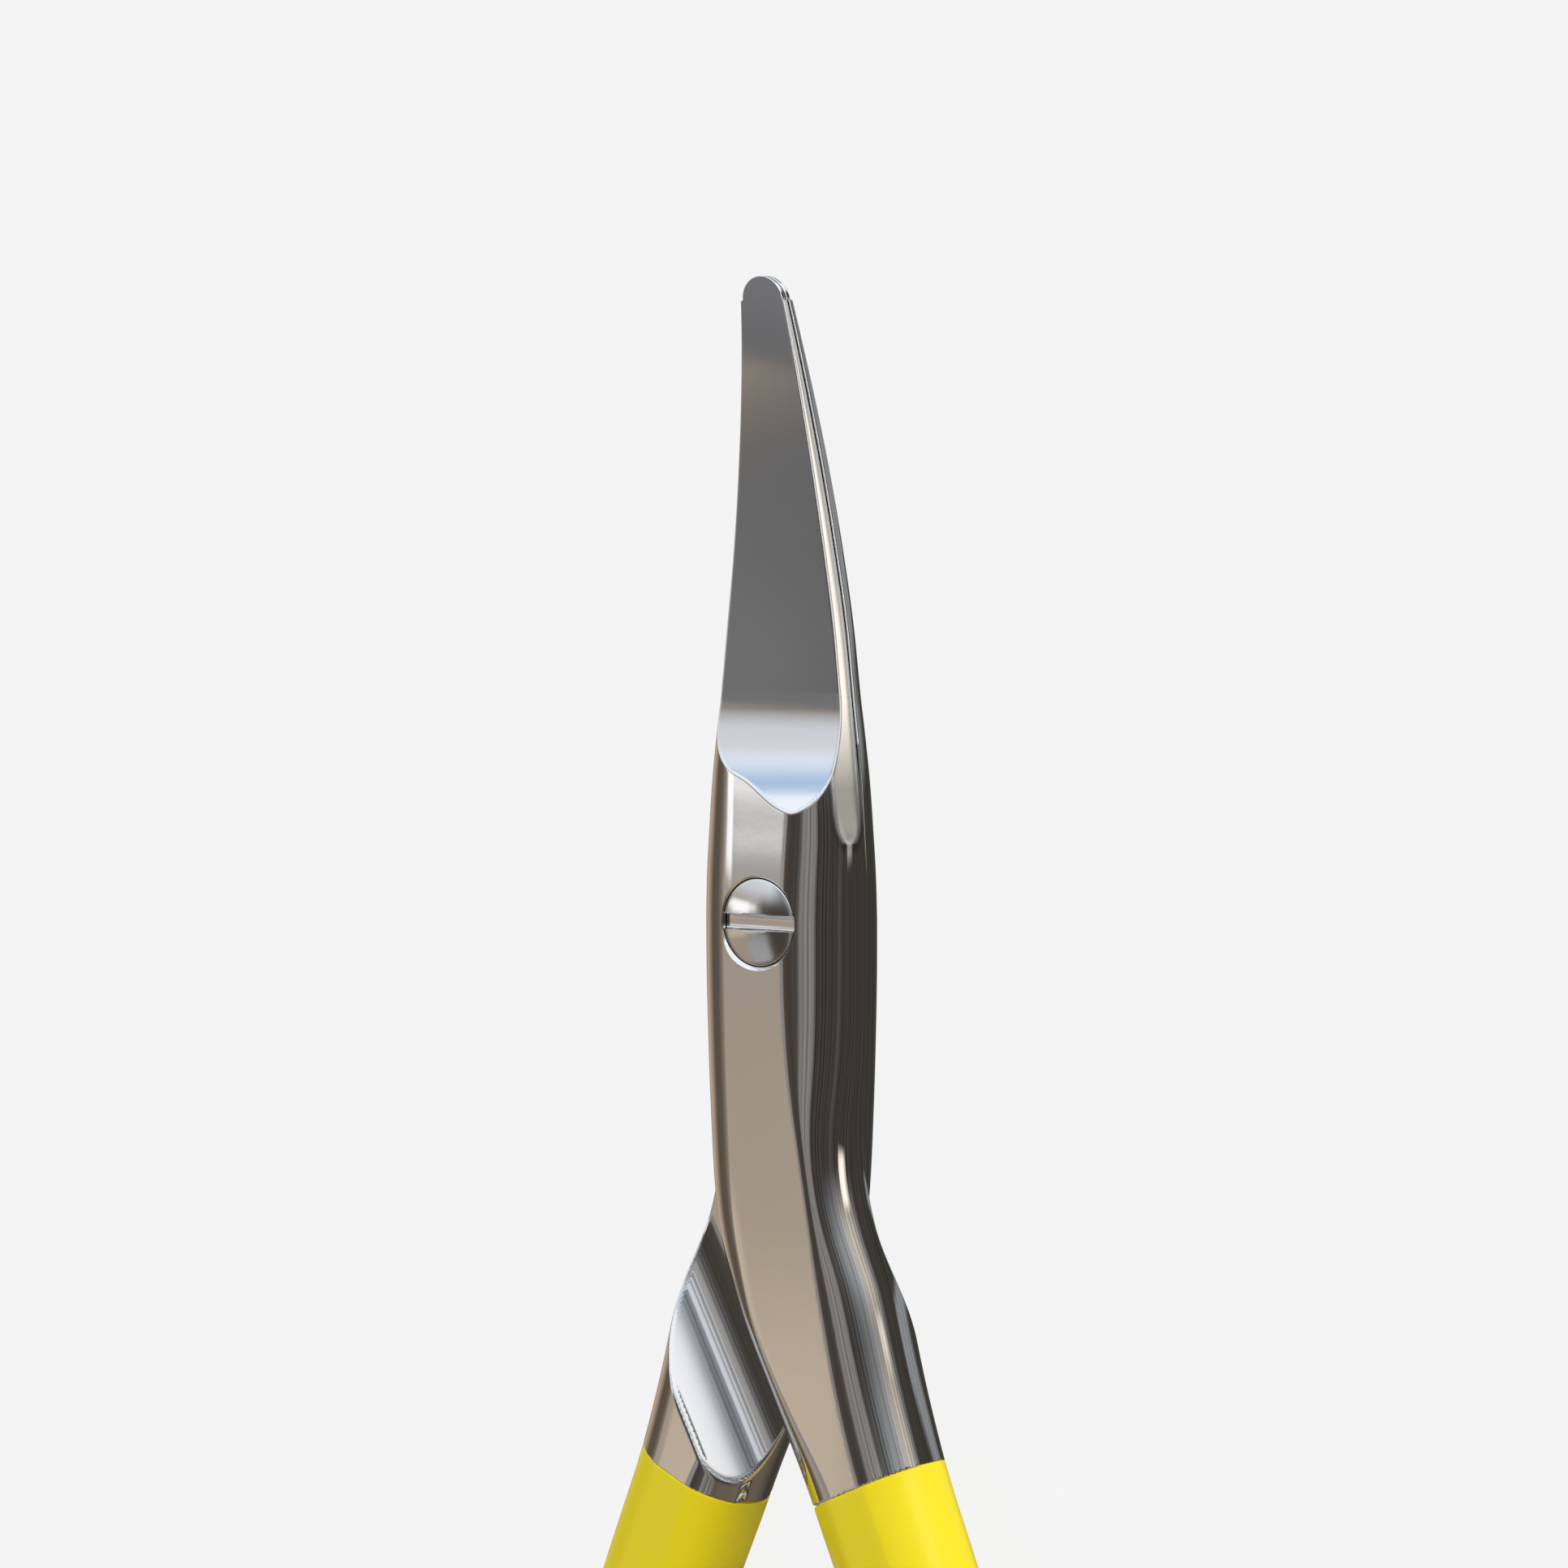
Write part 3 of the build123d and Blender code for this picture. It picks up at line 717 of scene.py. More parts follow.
def make_grip(side, name, node):
    """Outer skin from the steel's end round the tip of the handle, and the bore that the tang fills."""
    fn = grip_fn(side)
    n = 168
    phi = np.linspace(0, 2 * np.pi, n, endpoint=False)
    phi = phi + 0.10 * np.sin(2 * phi)
    ce, se = math.cos(GRIP_A), math.sin(GRIP_A)
    rings = []
    # rings square to the handle near the start, turning square to Y further down
    ts = list(spaced([(0.0, 0.035), (0.5, 0.06), (1.2, 0.25), (4, 0.6), (18, 0.9), (56, 0.7), (66, 0.35), (68.6, 0.12), (69.3, 0.05)]))
    base = np.array([8.7, -44.3 + 0.3 * side])
    ends = -44.3 + 0.3 * side
    last_y = -113.93
    for i, t in enumerate(ts):
        y_c = ends - t * (ends - last_y) / ts[-1]
        w = min(1.0, max(0.0, 1 - t / 30.0))
        ul, ur, fl, fr, h = rows_at(np.array(y_c))
        core = np.array([0.5 * (fl + fr), y_c, 0.0])
        if t < 1.0:
            core[1] -= 0.03
        a = GRIP_A * w
        across = np.array([math.cos(a), math.sin(a), 0.0])
        d = np.cos(phi)[:, None] * across * max(0.6, 0.5 * (ur - ul)) + np.sin(phi)[:, None] * np.array([0, 0, 1.0]) * max(0.5, h)
        if t < 0.6:
            # start rings: a back tilt of the rays towards the cut end is set up, but it is zero, so the rays stay as
            # they are
            back_dir = np.array([-se, ce, 0.0])
            tilt = 0.0
            d = d + back_dir * tilt
        c = np.repeat(core[None], n, 0)
        rings.append(first_exit(fn, c, d, 3.0, 16))
    outer = np.array(rings)
    # the cut end: rounded outer edge is in the first rings; then the flat annulus and the bore
    p0 = outer[0]
    inner_fn = lambda u, y, v: section(u, np.minimum(y, -1e-9), v, inset=COAT - 0.02)
    bore_rings = []
    us = [0.01, 2, 6, 12, 20, 30, 40, 50, 58, 62, 64.5]
    for t in us:
        y_c = ends - t
        w = min(1.0, max(0.0, 1 - t / 30.0))
        ul, ur, fl, fr, h = rows_at(np.array(y_c))
        core = np.array([0.5 * (fl + fr), y_c, 0.0])
        a = GRIP_A * w
        across = np.array([math.cos(a), math.sin(a), 0.0])
        d = np.cos(phi)[:, None] * across * max(0.6, 0.5 * (ur - ul)) + np.sin(phi)[:, None] * np.array([0, 0, 1.0]) * max(0.5, h)
        c = np.repeat(core[None], n, 0)
        bore_rings.append(first_exit(inner_fn, c, d, 3.0, 16))
    bore_rings = np.array(bore_rings)[::-1]
    rings = np.concatenate([bore_rings, outer])
    c0 = bore_rings[0].mean(0)
    c1 = outer[-1].mean(0)
    c1 = np.array([c1[0], -113.985, 0.0])
    verts, faces = ring_mesh(rings, c0, c1)
    ob = new_mesh(name, to_row(verts, side), faces, node=node)
    fix_winding(ob)
    def value(co):
        p = local_of(co, side)
        return fn(p[:, 0], p[:, 1], p[:, 2])
    def normal(co):
        g = gradient(fn, local_of(co, side))
        return np.stack([side * g[:, 0], g[:, 1], side * g[:, 2]], 1)
    def value_in(co):
        p = local_of(co, side)
        return inner_fn(p[:, 0], p[:, 1], p[:, 2])
    def normal_in(co):
        g = -gradient(inner_fn, local_of(co, side))
        return np.stack([side * g[:, 0], g[:, 1], side * g[:, 2]], 1)
    boolean(ob, seat_cut(side))
    corner_normals(ob, [(value, normal), (value_in, normal_in)])
    return ob


front_grip = make_grip(1, "front_vinyl_grip", "front_grip")
back_grip = make_grip(-1, "back_vinyl_grip", "back_grip")


# ------------------------------------------------------------------ screw, nut, washer
def make_screw():
    rise, hr, top = 0.55, 3.45, 9.5
    dome = (hr ** 2 + rise ** 2) / (2 * rise)
    arc = []
    for k in range(29):
        r = hr * (1 - k / 28)
        arc.append((r, top - dome + math.sqrt(dome ** 2 - r ** 2)))
    # turned profile from the threaded end up, with a fine 60 degree thread in the nut
    prof = [(0, 0), (1.80, 0.0)]
    pitch, z = 0.5, 0.18
    while z < 1.86:
        prof += [(2.0, z), (2.0, z + 0.06), (1.72, z + 0.25), (1.72, z + 0.29)]
        z += pitch
    prof += [(1.9, 1.95), (2.25, 1.95), (2.25, 7.6), (3.33, 7.6), (3.45, 7.72), (3.45, 8.80)]
    edge = [(3.45, 8.80), (3.444, 8.865), (3.42, 8.92), (3.378, 8.955), (3.33, 8.972)]
    prof += edge[1:]
    prof += [a for a in arc if a[0] < 3.25]
    v, f = lathe(prof, 224)
    ob = new_mesh("pivot_screw_body", v, f, node="pivot_screw")
    fix_winding(ob)
    # slot cutter with softened lips
    w, zf = 0.625, 8.45
    sec = [(w + 0.30, 9.9)]
    for k in range(7):
        a = math.radians(90 * k / 6)
        sec.append((w + 0.10 - 0.10 * math.sin(a), 9.42 - 0.10 + 0.10 * math.cos(a)))
    sec = [(w + 0.5, 10.2)] + [(w + 0.10 * (1 - math.sin(math.radians(90 * k / 6))), 9.44 - 0.10 * (1 - math.cos(math.radians(90 * k / 6)))) for k in range(7)]
    sec += [(w, zf + 0.20), (w - 0.03, zf + 0.10), (w - 0.10, zf + 0.045), (w - 0.22, zf + 0.018), (w - 0.40, zf + 0.004), (0.06, zf)]
    prof2 = sec + [(-a, b) for a, b in reversed(sec)]
    verts, faces = [], []
    for x in (-5.0, 5.0):
        verts += [(x, a, b) for a, b in prof2]
    m = len(prof2)
    faces = [tuple(range(m)), tuple(range(2 * m - 1, m - 1, -1))]
    faces += [(i, (i + 1) % m + 0, (i + 1) % m + m, i + m) for i in range(m)]
    cut = new_mesh("slot_cut", verts, faces)
    fix_winding(cut)
    boolean(ob, cut)
    return ob


screw = make_screw()


def make_washer():
    z0, z1, r0, r1, c = 7.3, 7.6, 2.4, 3.4, 0.05
    line = [(r0, z0 + c), (r0, z1 - c), (r0 + c, z1), (r1 - c, z1), (r1, z1 - c), (r1, z0 + c), (r1 - c, z0), (r0 + c, z0)]
    steps = 160
    ang = np.linspace(0, 2 * np.pi, steps, endpoint=False)
    rings = np.array([np.stack([r * np.cos(ang), r * np.sin(ang), np.full(steps, z)], 1) for r, z in line + line[:1]])
    m, n = len(line), steps
    verts = rings[:-1].reshape(-1, 3)
    faces = [(i * n + j, i * n + (j + 1) % n, ((i + 1) % m) * n + (j + 1) % n, ((i + 1) % m) * n + j) for i in range(m) for j in range(n)]
    ob = new_mesh("tension_washer_ring", verts, faces, node="tension_washer")
    fix_winding(ob)
    return ob


def make_nut():
    """Hexagon with both rims chamfered the way a turned nut is, and a threaded bore."""
    steps = 240
    ang = np.linspace(0, 2 * np.pi, steps, endpoint=False)
    folded = (ang + np.pi / 6) % (np.pi / 3) - np.pi / 6
    hexr = 3.2 / np.cos(folded)
    z0, z1 = 0.25, 1.95
    rings = []
    def ring(r, z):
        rings.append(np.stack([r * np.cos(ang + np.pi / 6), r * np.sin(ang + np.pi / 6), np.full(steps, z) if np.isscalar(z) else z], 1))
    lim = 3.30
    cone = lambda r: np.clip(r - lim, 0, None) * 0.6
    ring(np.full(steps, 2.02), z1)
    ring(np.minimum(hexr, lim), z1)
    ring(hexr, z1 - 0.02 - 0 * hexr)
    ring(hexr, z0 + 0.03 + cone(hexr))
    ring(np.minimum(hexr, lim) * 1.0, z0)
    ring(np.full(steps, 2.22), z0)
    pitch, z = 0.5, z0 + 0.12
    while z < z1 - 0.2:
        ring(np.full(steps, 2.02), z)
        ring(np.full(steps, 2.02), z + 0.08)
        ring(np.full(steps, 2.14), z + 0.25)
        z += pitch
    R = np.array(rings)
    m, n = len(R), steps
    verts = R.reshape(-1, 3)
    faces = [(i * n + j, i * n + (j + 1) % n, ((i + 1) % m) * n + (j + 1) % n, ((i + 1) % m) * n + j) for i in range(m) for j in range(n)]
    ob = new_mesh("pivot_nut_hex", verts, faces, node="pivot_nut")
    fix_winding(ob)
    return ob


washer = make_washer()
nut = make_nut()


# ------------------------------------------------------------------ spring and studs
def make_stud(side, name, node):
    a, b = 4.0, 6.6
    pts = [(0, a), (1.9, a), (2.3, a + 0.4), (2.3, b), (3.4, b), (3.7, b + 0.3), (3.7, 10.0), (2.3, 10.0), (2.3, 13.2), (0, 13.2)]
    rad = [0, 0.12, 0.12, 0.06, 0.08, 0.08, 0.05, 0, 0.1, 0]
    line = rounded(pts, rad, 4)
    v, f = lathe([tuple(p) for p in line], 128, axis="x")
    v = v * np.array([side, 1, 1]) + np.array([0, SPRING_Y, ZM])
    ob = new_mesh(name, v, f, node=node)
    fix_winding(ob)
    return ob


def make_spring():
    """Open turns at one even pitch from end to end; the wire's ends are capped nearly flat."""
    half_len = 6.6 - 0.45 - 0.01
    turns, r, wr = 9.0, 3.3, 0.45
    n = 900
    t = np.linspace(0, 1, n)
    ang = 2 * np.pi * turns * t
    x = -half_len + 2 * half_len * t
    p = np.stack([x, r * np.cos(ang), r * np.sin(ang)], 1)
    tan = np.gradient(p, axis=0)
    tan /= np.linalg.norm(tan, axis=1, keepdims=True)
    rad = np.stack([0 * ang, np.cos(ang), np.sin(ang)], 1)
    bi = np.cross(tan, rad)
    bi /= np.linalg.norm(bi, axis=1, keepdims=True)
    k = 18
    a = np.linspace(0, 2 * np.pi, k, endpoint=False)
    rings = p[:, None] + wr * (np.cos(a)[None, :, None] * rad[:, None] + np.sin(a)[None, :, None] * bi[:, None])
    s0 = p[0] + 0.92 * wr * (rings[0] - p[0]) / wr - tan[0] * 0.04
    s1 = p[-1] + 0.92 * wr * (rings[-1] - p[-1]) / wr + tan[-1] * 0.04
    rings = np.concatenate([s0[None], rings, s1[None]])
    v, f = ring_mesh(rings, p[0] - tan[0] * 0.045, p[-1] + tan[-1] * 0.045)
    v = v + np.array([0, SPRING_Y, ZM])
    ob = new_mesh("coil_spring", v, f, node="return_spring")
    fix_winding(ob)
    return ob


front_stud = make_stud(1, "front_spring_seat", "front_spring_stud")
back_stud = make_stud(-1, "back_spring_seat", "back_spring_stud")
spring = make_spring()


def auto_normals(ob, deg=32):
    """Smooth shading that breaks at sharp edges."""
    me = ob.data
    me.polygons.foreach_set("use_smooth", [True] * len(me.polygons))
    me.update()
    import bmesh
    bm = bmesh.new()
    bm.from_mesh(me)
    for e in bm.edges:
        e.smooth = not (len(e.link_faces) == 2 and e.calc_face_angle(0) > math.radians(deg))
    bm.to_mesh(me)
    bm.free()


for ob in (screw, washer, nut, front_stud, back_stud, spring):
    auto_normals(ob)

# ------------------------------------------------------------------ bodies
for ob in (front, front_grip, front_stud):
    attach(ob, "front")
for ob in (back, back_grip, back_stud, screw, nut, washer):
    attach(ob, "back")
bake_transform(spring)


# ------------------------------------------------------------------ materials
class Nodes:
    def __init__(self, tree):
        self.t = tree
        tree.nodes.clear()

    def add(self, kind, **kw):
        n = self.t.nodes.new(kind)
        for k, v in kw.items():
            setattr(n, k, v)
        return n

    def link(self, a, b):
        self.t.links.new(a, b)

    def ramp(self, fac, stops, mode="LINEAR"):
        r = self.add("ShaderNodeValToRGB")
        r.color_ramp.interpolation = mode
        while len(r.color_ramp.elements) > 1:
            r.color_ramp.elements.remove(r.color_ramp.elements[0])
        for i, (p, c) in enumerate(stops):
            e = r.color_ramp.elements[0] if i == 0 else r.color_ramp.elements.new(p)
            e.position = p
            e.color = (*c, 1) if len(c) == 3 else c
        self.link(fac, r.inputs[0])
        return r

    def math(self, op, a, b=None, clamp=False):
        m = self.add("ShaderNodeMath", operation=op, use_clamp=clamp)
        for i, x in enumerate((a, b)):
            if x is None:
                continue
            if hasattr(x, "is_linked"):
                self.link(x, m.inputs[i])
            else:
                m.inputs[i].default_value = x
        return m.outputs[0]

    def mix(self, fac, a, b):
        m = self.add("ShaderNodeMix", data_type="RGBA")
        for sock, x in ((m.inputs[0], fac), (m.inputs[6], a), (m.inputs[7], b)):
            if hasattr(x, "is_linked"):
                self.link(x, sock)
            else:
                sock.default_value = x if np.isscalar(x) else (*x, 1)
        return m.outputs[2]


def srgb(r, g, b):
    f = lambda c: c / 12.92 if c <= 0.04045 else ((c + 0.055) / 1.055) ** 2.4
    return tuple(f(x / 255) for x in (r, g, b))


def metal(name, tint, rough, scratch=(1.0, 1.0, 1.0), wear=0.03, painted_light_and_shade=False, bump=0.00002):
    mat = bpy.data.materials.new(name)
    mat.use_nodes = True
    n = Nodes(mat.node_tree)
    out = n.add("ShaderNodeOutputMaterial")
    bs = n.add("ShaderNodeBsdfPrincipled")
    n.link(bs.outputs[0], out.inputs[0])
    bs.inputs["Metallic"].default_value = 1.0
    bs.inputs["Specular IOR Level"].default_value = 0.5
    co = n.add("ShaderNodeTexCoord")
    mp = n.add("ShaderNodeMapping")
    mp.inputs["Scale"].default_value = (900 * scratch[0], 900 * scratch[1], 900 * scratch[2])
    n.link(co.outputs["Object"], mp.inputs[0])
    fine = n.add("ShaderNodeTexNoise")
    fine.inputs["Scale"].default_value = 1.0
    fine.inputs["Detail"].default_value = 3.0
    n.link(mp.outputs[0], fine.inputs["Vector"])
    broad = n.add("ShaderNodeTexNoise")
    broad.inputs["Scale"].default_value = 90.0
    broad.inputs["Detail"].default_value = 2.0
    n.link(co.outputs["Object"], broad.inputs["Vector"])
    base = n.mix(broad.outputs["Fac"], tuple(c * (1 - wear) for c in tint), tuple(min(1, c * (1 + wear)) for c in tint))
    lo, hi = rough * 0.8, rough * 1.2
    mr = n.add("ShaderNodeMapRange")
    mr.inputs["To Min"].default_value = lo
    mr.inputs["To Max"].default_value = hi
    n.link(fine.outputs["Fac"], mr.inputs["Value"])
    rgh = mr.outputs[0]
    if painted_light_and_shade:
        g = n.add("ShaderNodeAttribute", attribute_name="ground")
        b = n.add("ShaderNodeAttribute", attribute_name="bevel")
        # painted shade: the ground faces take a dark grey base colour (about 0.5 against the steel's 0.83) that stands
        # in for the dark reflection they show
        ground_shade_col = n.mix(broad.outputs["Fac"], (0.495, 0.50, 0.51), (0.515, 0.52, 0.53))
        base = n.mix(g.outputs["Fac"], base, ground_shade_col)
        # painted highlight and painted shade: the bevel strip and tip get a light base colour (0.88) as a painted
        # highlight, turning dark (0.27) below y 17.5 along the tongue mask as painted shade
        tg = n.add("ShaderNodeAttribute", attribute_name="tongue")
        base = n.mix(b.outputs["Fac"], base, n.mix(tg.outputs["Fac"], (0.88, 0.87, 0.85), (0.27, 0.285, 0.29)))
        # painted highlight: on the rim mask the base turns near-white, rougher and less metallic, so chosen edges show
        # white lines that stand in for the highlight a rounded edge catches
        rm = n.add("ShaderNodeAttribute", attribute_name="rim")
        base = n.mix(rm.outputs["Fac"], base, (0.96, 0.97, 0.99))
        rgh = n.math("ADD", rgh, n.math("MULTIPLY", rm.outputs["Fac"], 0.30))
        n.link(n.math("SUBTRACT", 1.0, n.math("MULTIPLY", rm.outputs["Fac"], 0.72)), bs.inputs["Metallic"])
        rgh = n.math("ADD", rgh, n.math("MULTIPLY", g.outputs["Fac"], 0.05))
        rgh = n.math("ADD", rgh, n.math("MULTIPLY", b.outputs["Fac"], 0.09))
    n.link(base, bs.inputs["Base Color"])
    n.link(rgh, bs.inputs["Roughness"])
    bp = n.add("ShaderNodeBump")
    bp.inputs["Strength"].default_value = 0.05
    bp.inputs["Distance"].default_value = bump
    n.link(fine.outputs["Fac"], bp.inputs["Height"])
    n.link(bp.outputs[0], bs.inputs["Normal"])
    return mat


def vinyl(name, lit, deep):
    mat = bpy.data.materials.new(name)
    mat.use_nodes = True
    n = Nodes(mat.node_tree)
    out = n.add("ShaderNodeOutputMaterial")
    bs = n.add("ShaderNodeBsdfPrincipled")
    n.link(bs.outputs[0], out.inputs[0])
    co = n.add("ShaderNodeTexCoord")
    no = n.add("ShaderNodeTexNoise")
    no.inputs["Scale"].default_value = 120.0
    no.inputs["Detail"].default_value = 3.0
    n.link(co.outputs["Object"], no.inputs["Vector"])
    n.link(n.mix(no.outputs["Fac"], deep, lit), bs.inputs["Base Color"])
    bs.inputs["Subsurface Weight"].default_value = 0.12
    bs.inputs["Subsurface Radius"].default_value = (0.0012, 0.0008, 0.0002)
    bs.inputs["IOR"].default_value = 1.5
    mr = n.add("ShaderNodeMapRange")
    mr.inputs["To Min"].default_value = 0.20
    mr.inputs["To Max"].default_value = 0.30
    n.link(no.outputs["Fac"], mr.inputs["Value"])
    n.link(mr.outputs[0], bs.inputs["Roughness"])
    bp = n.add("ShaderNodeBump")
    bp.inputs["Strength"].default_value = 0.12
    bp.inputs["Distance"].default_value = 0.0001
    n.link(no.outputs["Fac"], bp.inputs["Height"])
    n.link(bp.outputs[0], bs.inputs["Normal"])
    return mat


# the steel carries painted shade and painted highlights on its ground faces, bevel strip, tip and chosen edges
steel = metal("polished_steel", (0.83, 0.82, 0.80), 0.03, painted_light_and_shade=True)
screw_steel = metal("screw_steel", (0.86, 0.85, 0.83), 0.12, scratch=(1, 1, 4))
washer_steel = metal("washer_steel", (0.60, 0.58, 0.55), 0.22)
spring_steel = metal("spring_steel", (0.66, 0.65, 0.63), 0.16)
stud_steel = metal("stud_steel", (0.76, 0.75, 0.73), 0.14)
yellow = vinyl("yellow_vinyl", (0.80, 0.655, 0.014), (0.76, 0.615, 0.010))

for ob, mat, slot in (
    (front, steel, "polished_steel"), (back, steel, "polished_steel"), (screw, screw_steel, "screw_steel"),
    (nut, screw_steel, "screw_steel"), (washer, washer_steel, "washer_steel"), (spring, spring_steel, "spring_steel"),
    (front_stud, stud_steel, "stud_steel"), (back_stud, stud_steel, "stud_steel"),
    (front_grip, yellow, "yellow_vinyl"), (back_grip, yellow, "yellow_vinyl"),
):
    ob.data.materials.clear()
    ob.data.materials.append(mat)

# ------------------------------------------------------------------ stage
N = 24
gx = np.linspace(-1400, 1400, N)
fv = [(x, y, -0.02) for y in gx for x in gx]
ff = [(j * N + i, j * N + i + 1, (j + 1) * N + i + 1, (j + 1) * N + i) for j in range(N - 1) for i in range(N - 1)]
floor = new_mesh("floor", fv, ff)
floor_mat = bpy.data.materials.new("floor_paper")
floor_mat.use_nodes = True
n = Nodes(floor_mat.node_tree)
out = n.add("ShaderNodeOutputMaterial")
em = n.add("ShaderNodeEmission")
df = n.add("ShaderNodeBsdfDiffuse")
ad = n.add("ShaderNodeAddShader")
co = n.add("ShaderNodeTexCoord")
no = n.add("ShaderNodeTexNoise")
no.inputs["Scale"].default_value = 3.0
n.link(co.outputs["Object"], no.inputs["Vector"])
n.link(n.mix(no.outputs["Fac"], (0.899, 0.899, 0.899), (0.903, 0.903, 0.903)), em.inputs[0])
em.inputs[1].default_value = 0.985
n.link(n.mix(no.outputs["Fac"], (0.020, 0.020, 0.020), (0.024, 0.024, 0.024)), df.inputs[0])
n.link(em.outputs[0], ad.inputs[0])
n.link(df.outputs[0], ad.inputs[1])
n.link(ad.outputs[0], out.inputs[0])
floor.data.materials.append(floor_mat)
floor.visible_glossy = False
floor.visible_diffuse = True

# ------------------------------------------------------------------ world: soft studio, by direction
world = bpy.data.worlds.new("studio")
bpy.context.scene.world = world
world.use_nodes = True
n = Nodes(world.node_tree)
wout = n.add("ShaderNodeOutputWorld")
bg = n.add("ShaderNodeBackground")
bgc = n.add("ShaderNodeBackground")
mixs = n.add("ShaderNodeMixShader")
lp = n.add("ShaderNodeLightPath")
co = n.add("ShaderNodeTexCoord")
sp = n.add("ShaderNodeSeparateXYZ")
n.link(co.outputs["Generated"], sp.inputs[0])
x, y, z = sp.outputs[0], sp.outputs[1], sp.outputs[2]
theta = n.math("ARCTAN2", x, z)                       # 0 towards +Z, +90 towards +X
th01 = n.math("ADD", n.math("MULTIPLY", theta, 1 / (2 * math.pi)), 0.5)
elev = n.math("ARCSINE", y)
el01 = n.math("ADD", n.math("MULTIPLY", elev, 1 / math.pi), 0.5)


def T(deg):
    return (deg + 180) / 360


def E(deg):
    return (deg + 90) / 180


K = 1.22


def w8(r, g, b):
    return tuple(c * K for c in srgb(r, g, b))


def window(value, stops):
    """0..1 weight from a ramp."""
    rr = n.ramp(value, [(p, (w, w, w)) for p, w in stops])
    q = n.add("ShaderNodeSeparateColor")
    n.link(rr.outputs[0], q.inputs[0])
    return q.outputs[0]


def spread(value, lo, hi, smooth=True, a=0.0, b=1.0):
    m_ = n.add("ShaderNodeMapRange", interpolation_type="SMOOTHSTEP" if smooth else "LINEAR")
    m_.inputs["From Min"].default_value = math.radians(lo)
    m_.inputs["From Max"].default_value = math.radians(hi)
    m_.inputs["To Min"].default_value = a
    m_.inputs["To Max"].default_value = b
    n.link(value, m_.inputs["Value"])
    return m_.outputs[0]


# thin vertical streaks
fine_n = n.add("ShaderNodeTexNoise", noise_dimensions="2D")
fine_n.inputs["Scale"].default_value = 1.0
fine_n.inputs["Detail"].default_value = 2.0
vec = n.add("ShaderNodeCombineXYZ")
n.link(n.math("MULTIPLY", theta, 19.0), vec.inputs[0])
n.link(n.math("MULTIPLY", elev, 0.7), vec.inputs[1])
n.link(vec.outputs[0], fine_n.inputs["Vector"])
lines = n.add("ShaderNodeMapRange")
lines.inputs["From Min"].default_value = 0.34
lines.inputs["From Max"].default_value = 0.66
lines.inputs["To Min"].default_value = 0.62
lines.inputs["To Max"].default_value = 1.40
n.link(fine_n.outputs["Fac"], lines.inputs["Value"])

# round the object at camera height
mid = n.ramp(th01, [
    (T(-180), w8(56, 53, 49)), (T(-160), w8(70, 66, 60)), (T(-140), w8(98, 90, 80)), (T(-118), w8(182, 158, 134)), (T(-104), w8(150, 134, 118)), (T(-92), w8(84, 77, 69)), (T(-79), w8(88, 80, 72)),
    (T(-70), w8(132, 120, 107)), (T(-62), w8(146, 132, 118)), (T(-36), w8(150, 142, 134)), (T(-33), w8(120, 110, 100)), (T(-29), w8(74, 67, 60)), (T(-17), w8(62, 58, 54)), (T(-1), w8(62, 60, 57)),
    (T(4), w8(120, 118, 115)), (T(21), w8(118, 116, 114)), (T(25), w8(58, 55, 51)), (T(60), w8(59, 56, 52)), (T(68), w8(72, 69, 65)),
    (T(76), w8(58, 55, 51)), (T(180), w8(56, 53, 49)),
])
# higher up: grey, light grey, blue, lavender white; the bands sit lower towards the front
lift = spread(theta, -20, 10, True, 0.0, math.radians(12))
el_up = n.math("MULTIPLY", n.math("ADD", elev, lift), 1 / math.radians(110))
up_l = n.ramp(el_up, [
    (0.0, w8(134, 134, 136)), (7 / 110, w8(158, 160, 164)), (12 / 110, w8(192, 195, 201)), (22 / 110, w8(203, 208, 216)),
    (29 / 110, w8(207, 214, 223)), (34.5 / 110, w8(214, 222, 235)), (37.5 / 110, w8(207, 219, 237)), (41 / 110, w8(180, 201, 228)), (43.6 / 110, w8(166, 190, 221)),
    (45.6 / 110, w8(182, 202, 231)), (48 / 110, w8(236, 241, 251)), (1.0, w8(240, 243, 252)),
])
up_r = n.ramp(th01, [
    (T(-30), w8(190, 200, 212)), (T(20), w8(172, 180, 188)), (T(46), w8(170, 178, 186)), (T(62), w8(196, 202, 208)),
    (T(74), w8(200, 200, 200)), (T(82), w8(212, 202, 190)), (T(97), w8(214, 205, 194)), (T(106), w8(222, 228, 232)), (T(135), w8(216, 225, 234)), (T(180), w8(214, 224, 234)),
])
right = spread(theta, 20, 38)
up_w = n.mix(spread(elev, 27, 37), up_r.outputs[0], w8(238, 242, 248))
up = n.mix(right, up_l.outputs[0], up_w)
streak = window(th01, [
    (T(-180), 0.6), (T(-70), 0.8), (T(-24), 1.0), (T(-12), 0.35), (T(2), 0.30), (T(14), 0.42), (T(22), 0.66), (T(29), 0.22), (T(40), 0.38),
    (T(50), 0.66), (T(57), 0.45), (T(68), 0.62), (T(76), 0.60), (T(84), 0.66), (T(96), 0.62), (T(102), 0.30), (T(109), 0.05), (T(133), 0.05), (T(139), 0.9), (T(180), 0.9),
])
hi_w = spread(elev, 21, 31)
sw = n.math("MAXIMUM", streak, hi_w)
start = n.math("MULTIPLY", spread(elev, 3, 20), window(th01, [(T(-180), 0.3), (T(-100), 0.6), (T(-70), 1.0), (T(108), 1.0), (T(116), 0.0), (T(180), 0.0)]))
start_b = n.math("MULTIPLY", spread(elev, 1.0, 5.0), window(th01, [(T(84), 0.0), (T(88), 1.0), (T(98), 1.0), (T(101), 0.0), (T(134), 0.0), (T(140), 0.3), (T(180), 0.3)]))
start_b = n.math("MULTIPLY", start_b, spread(elev, 12, 8.5))
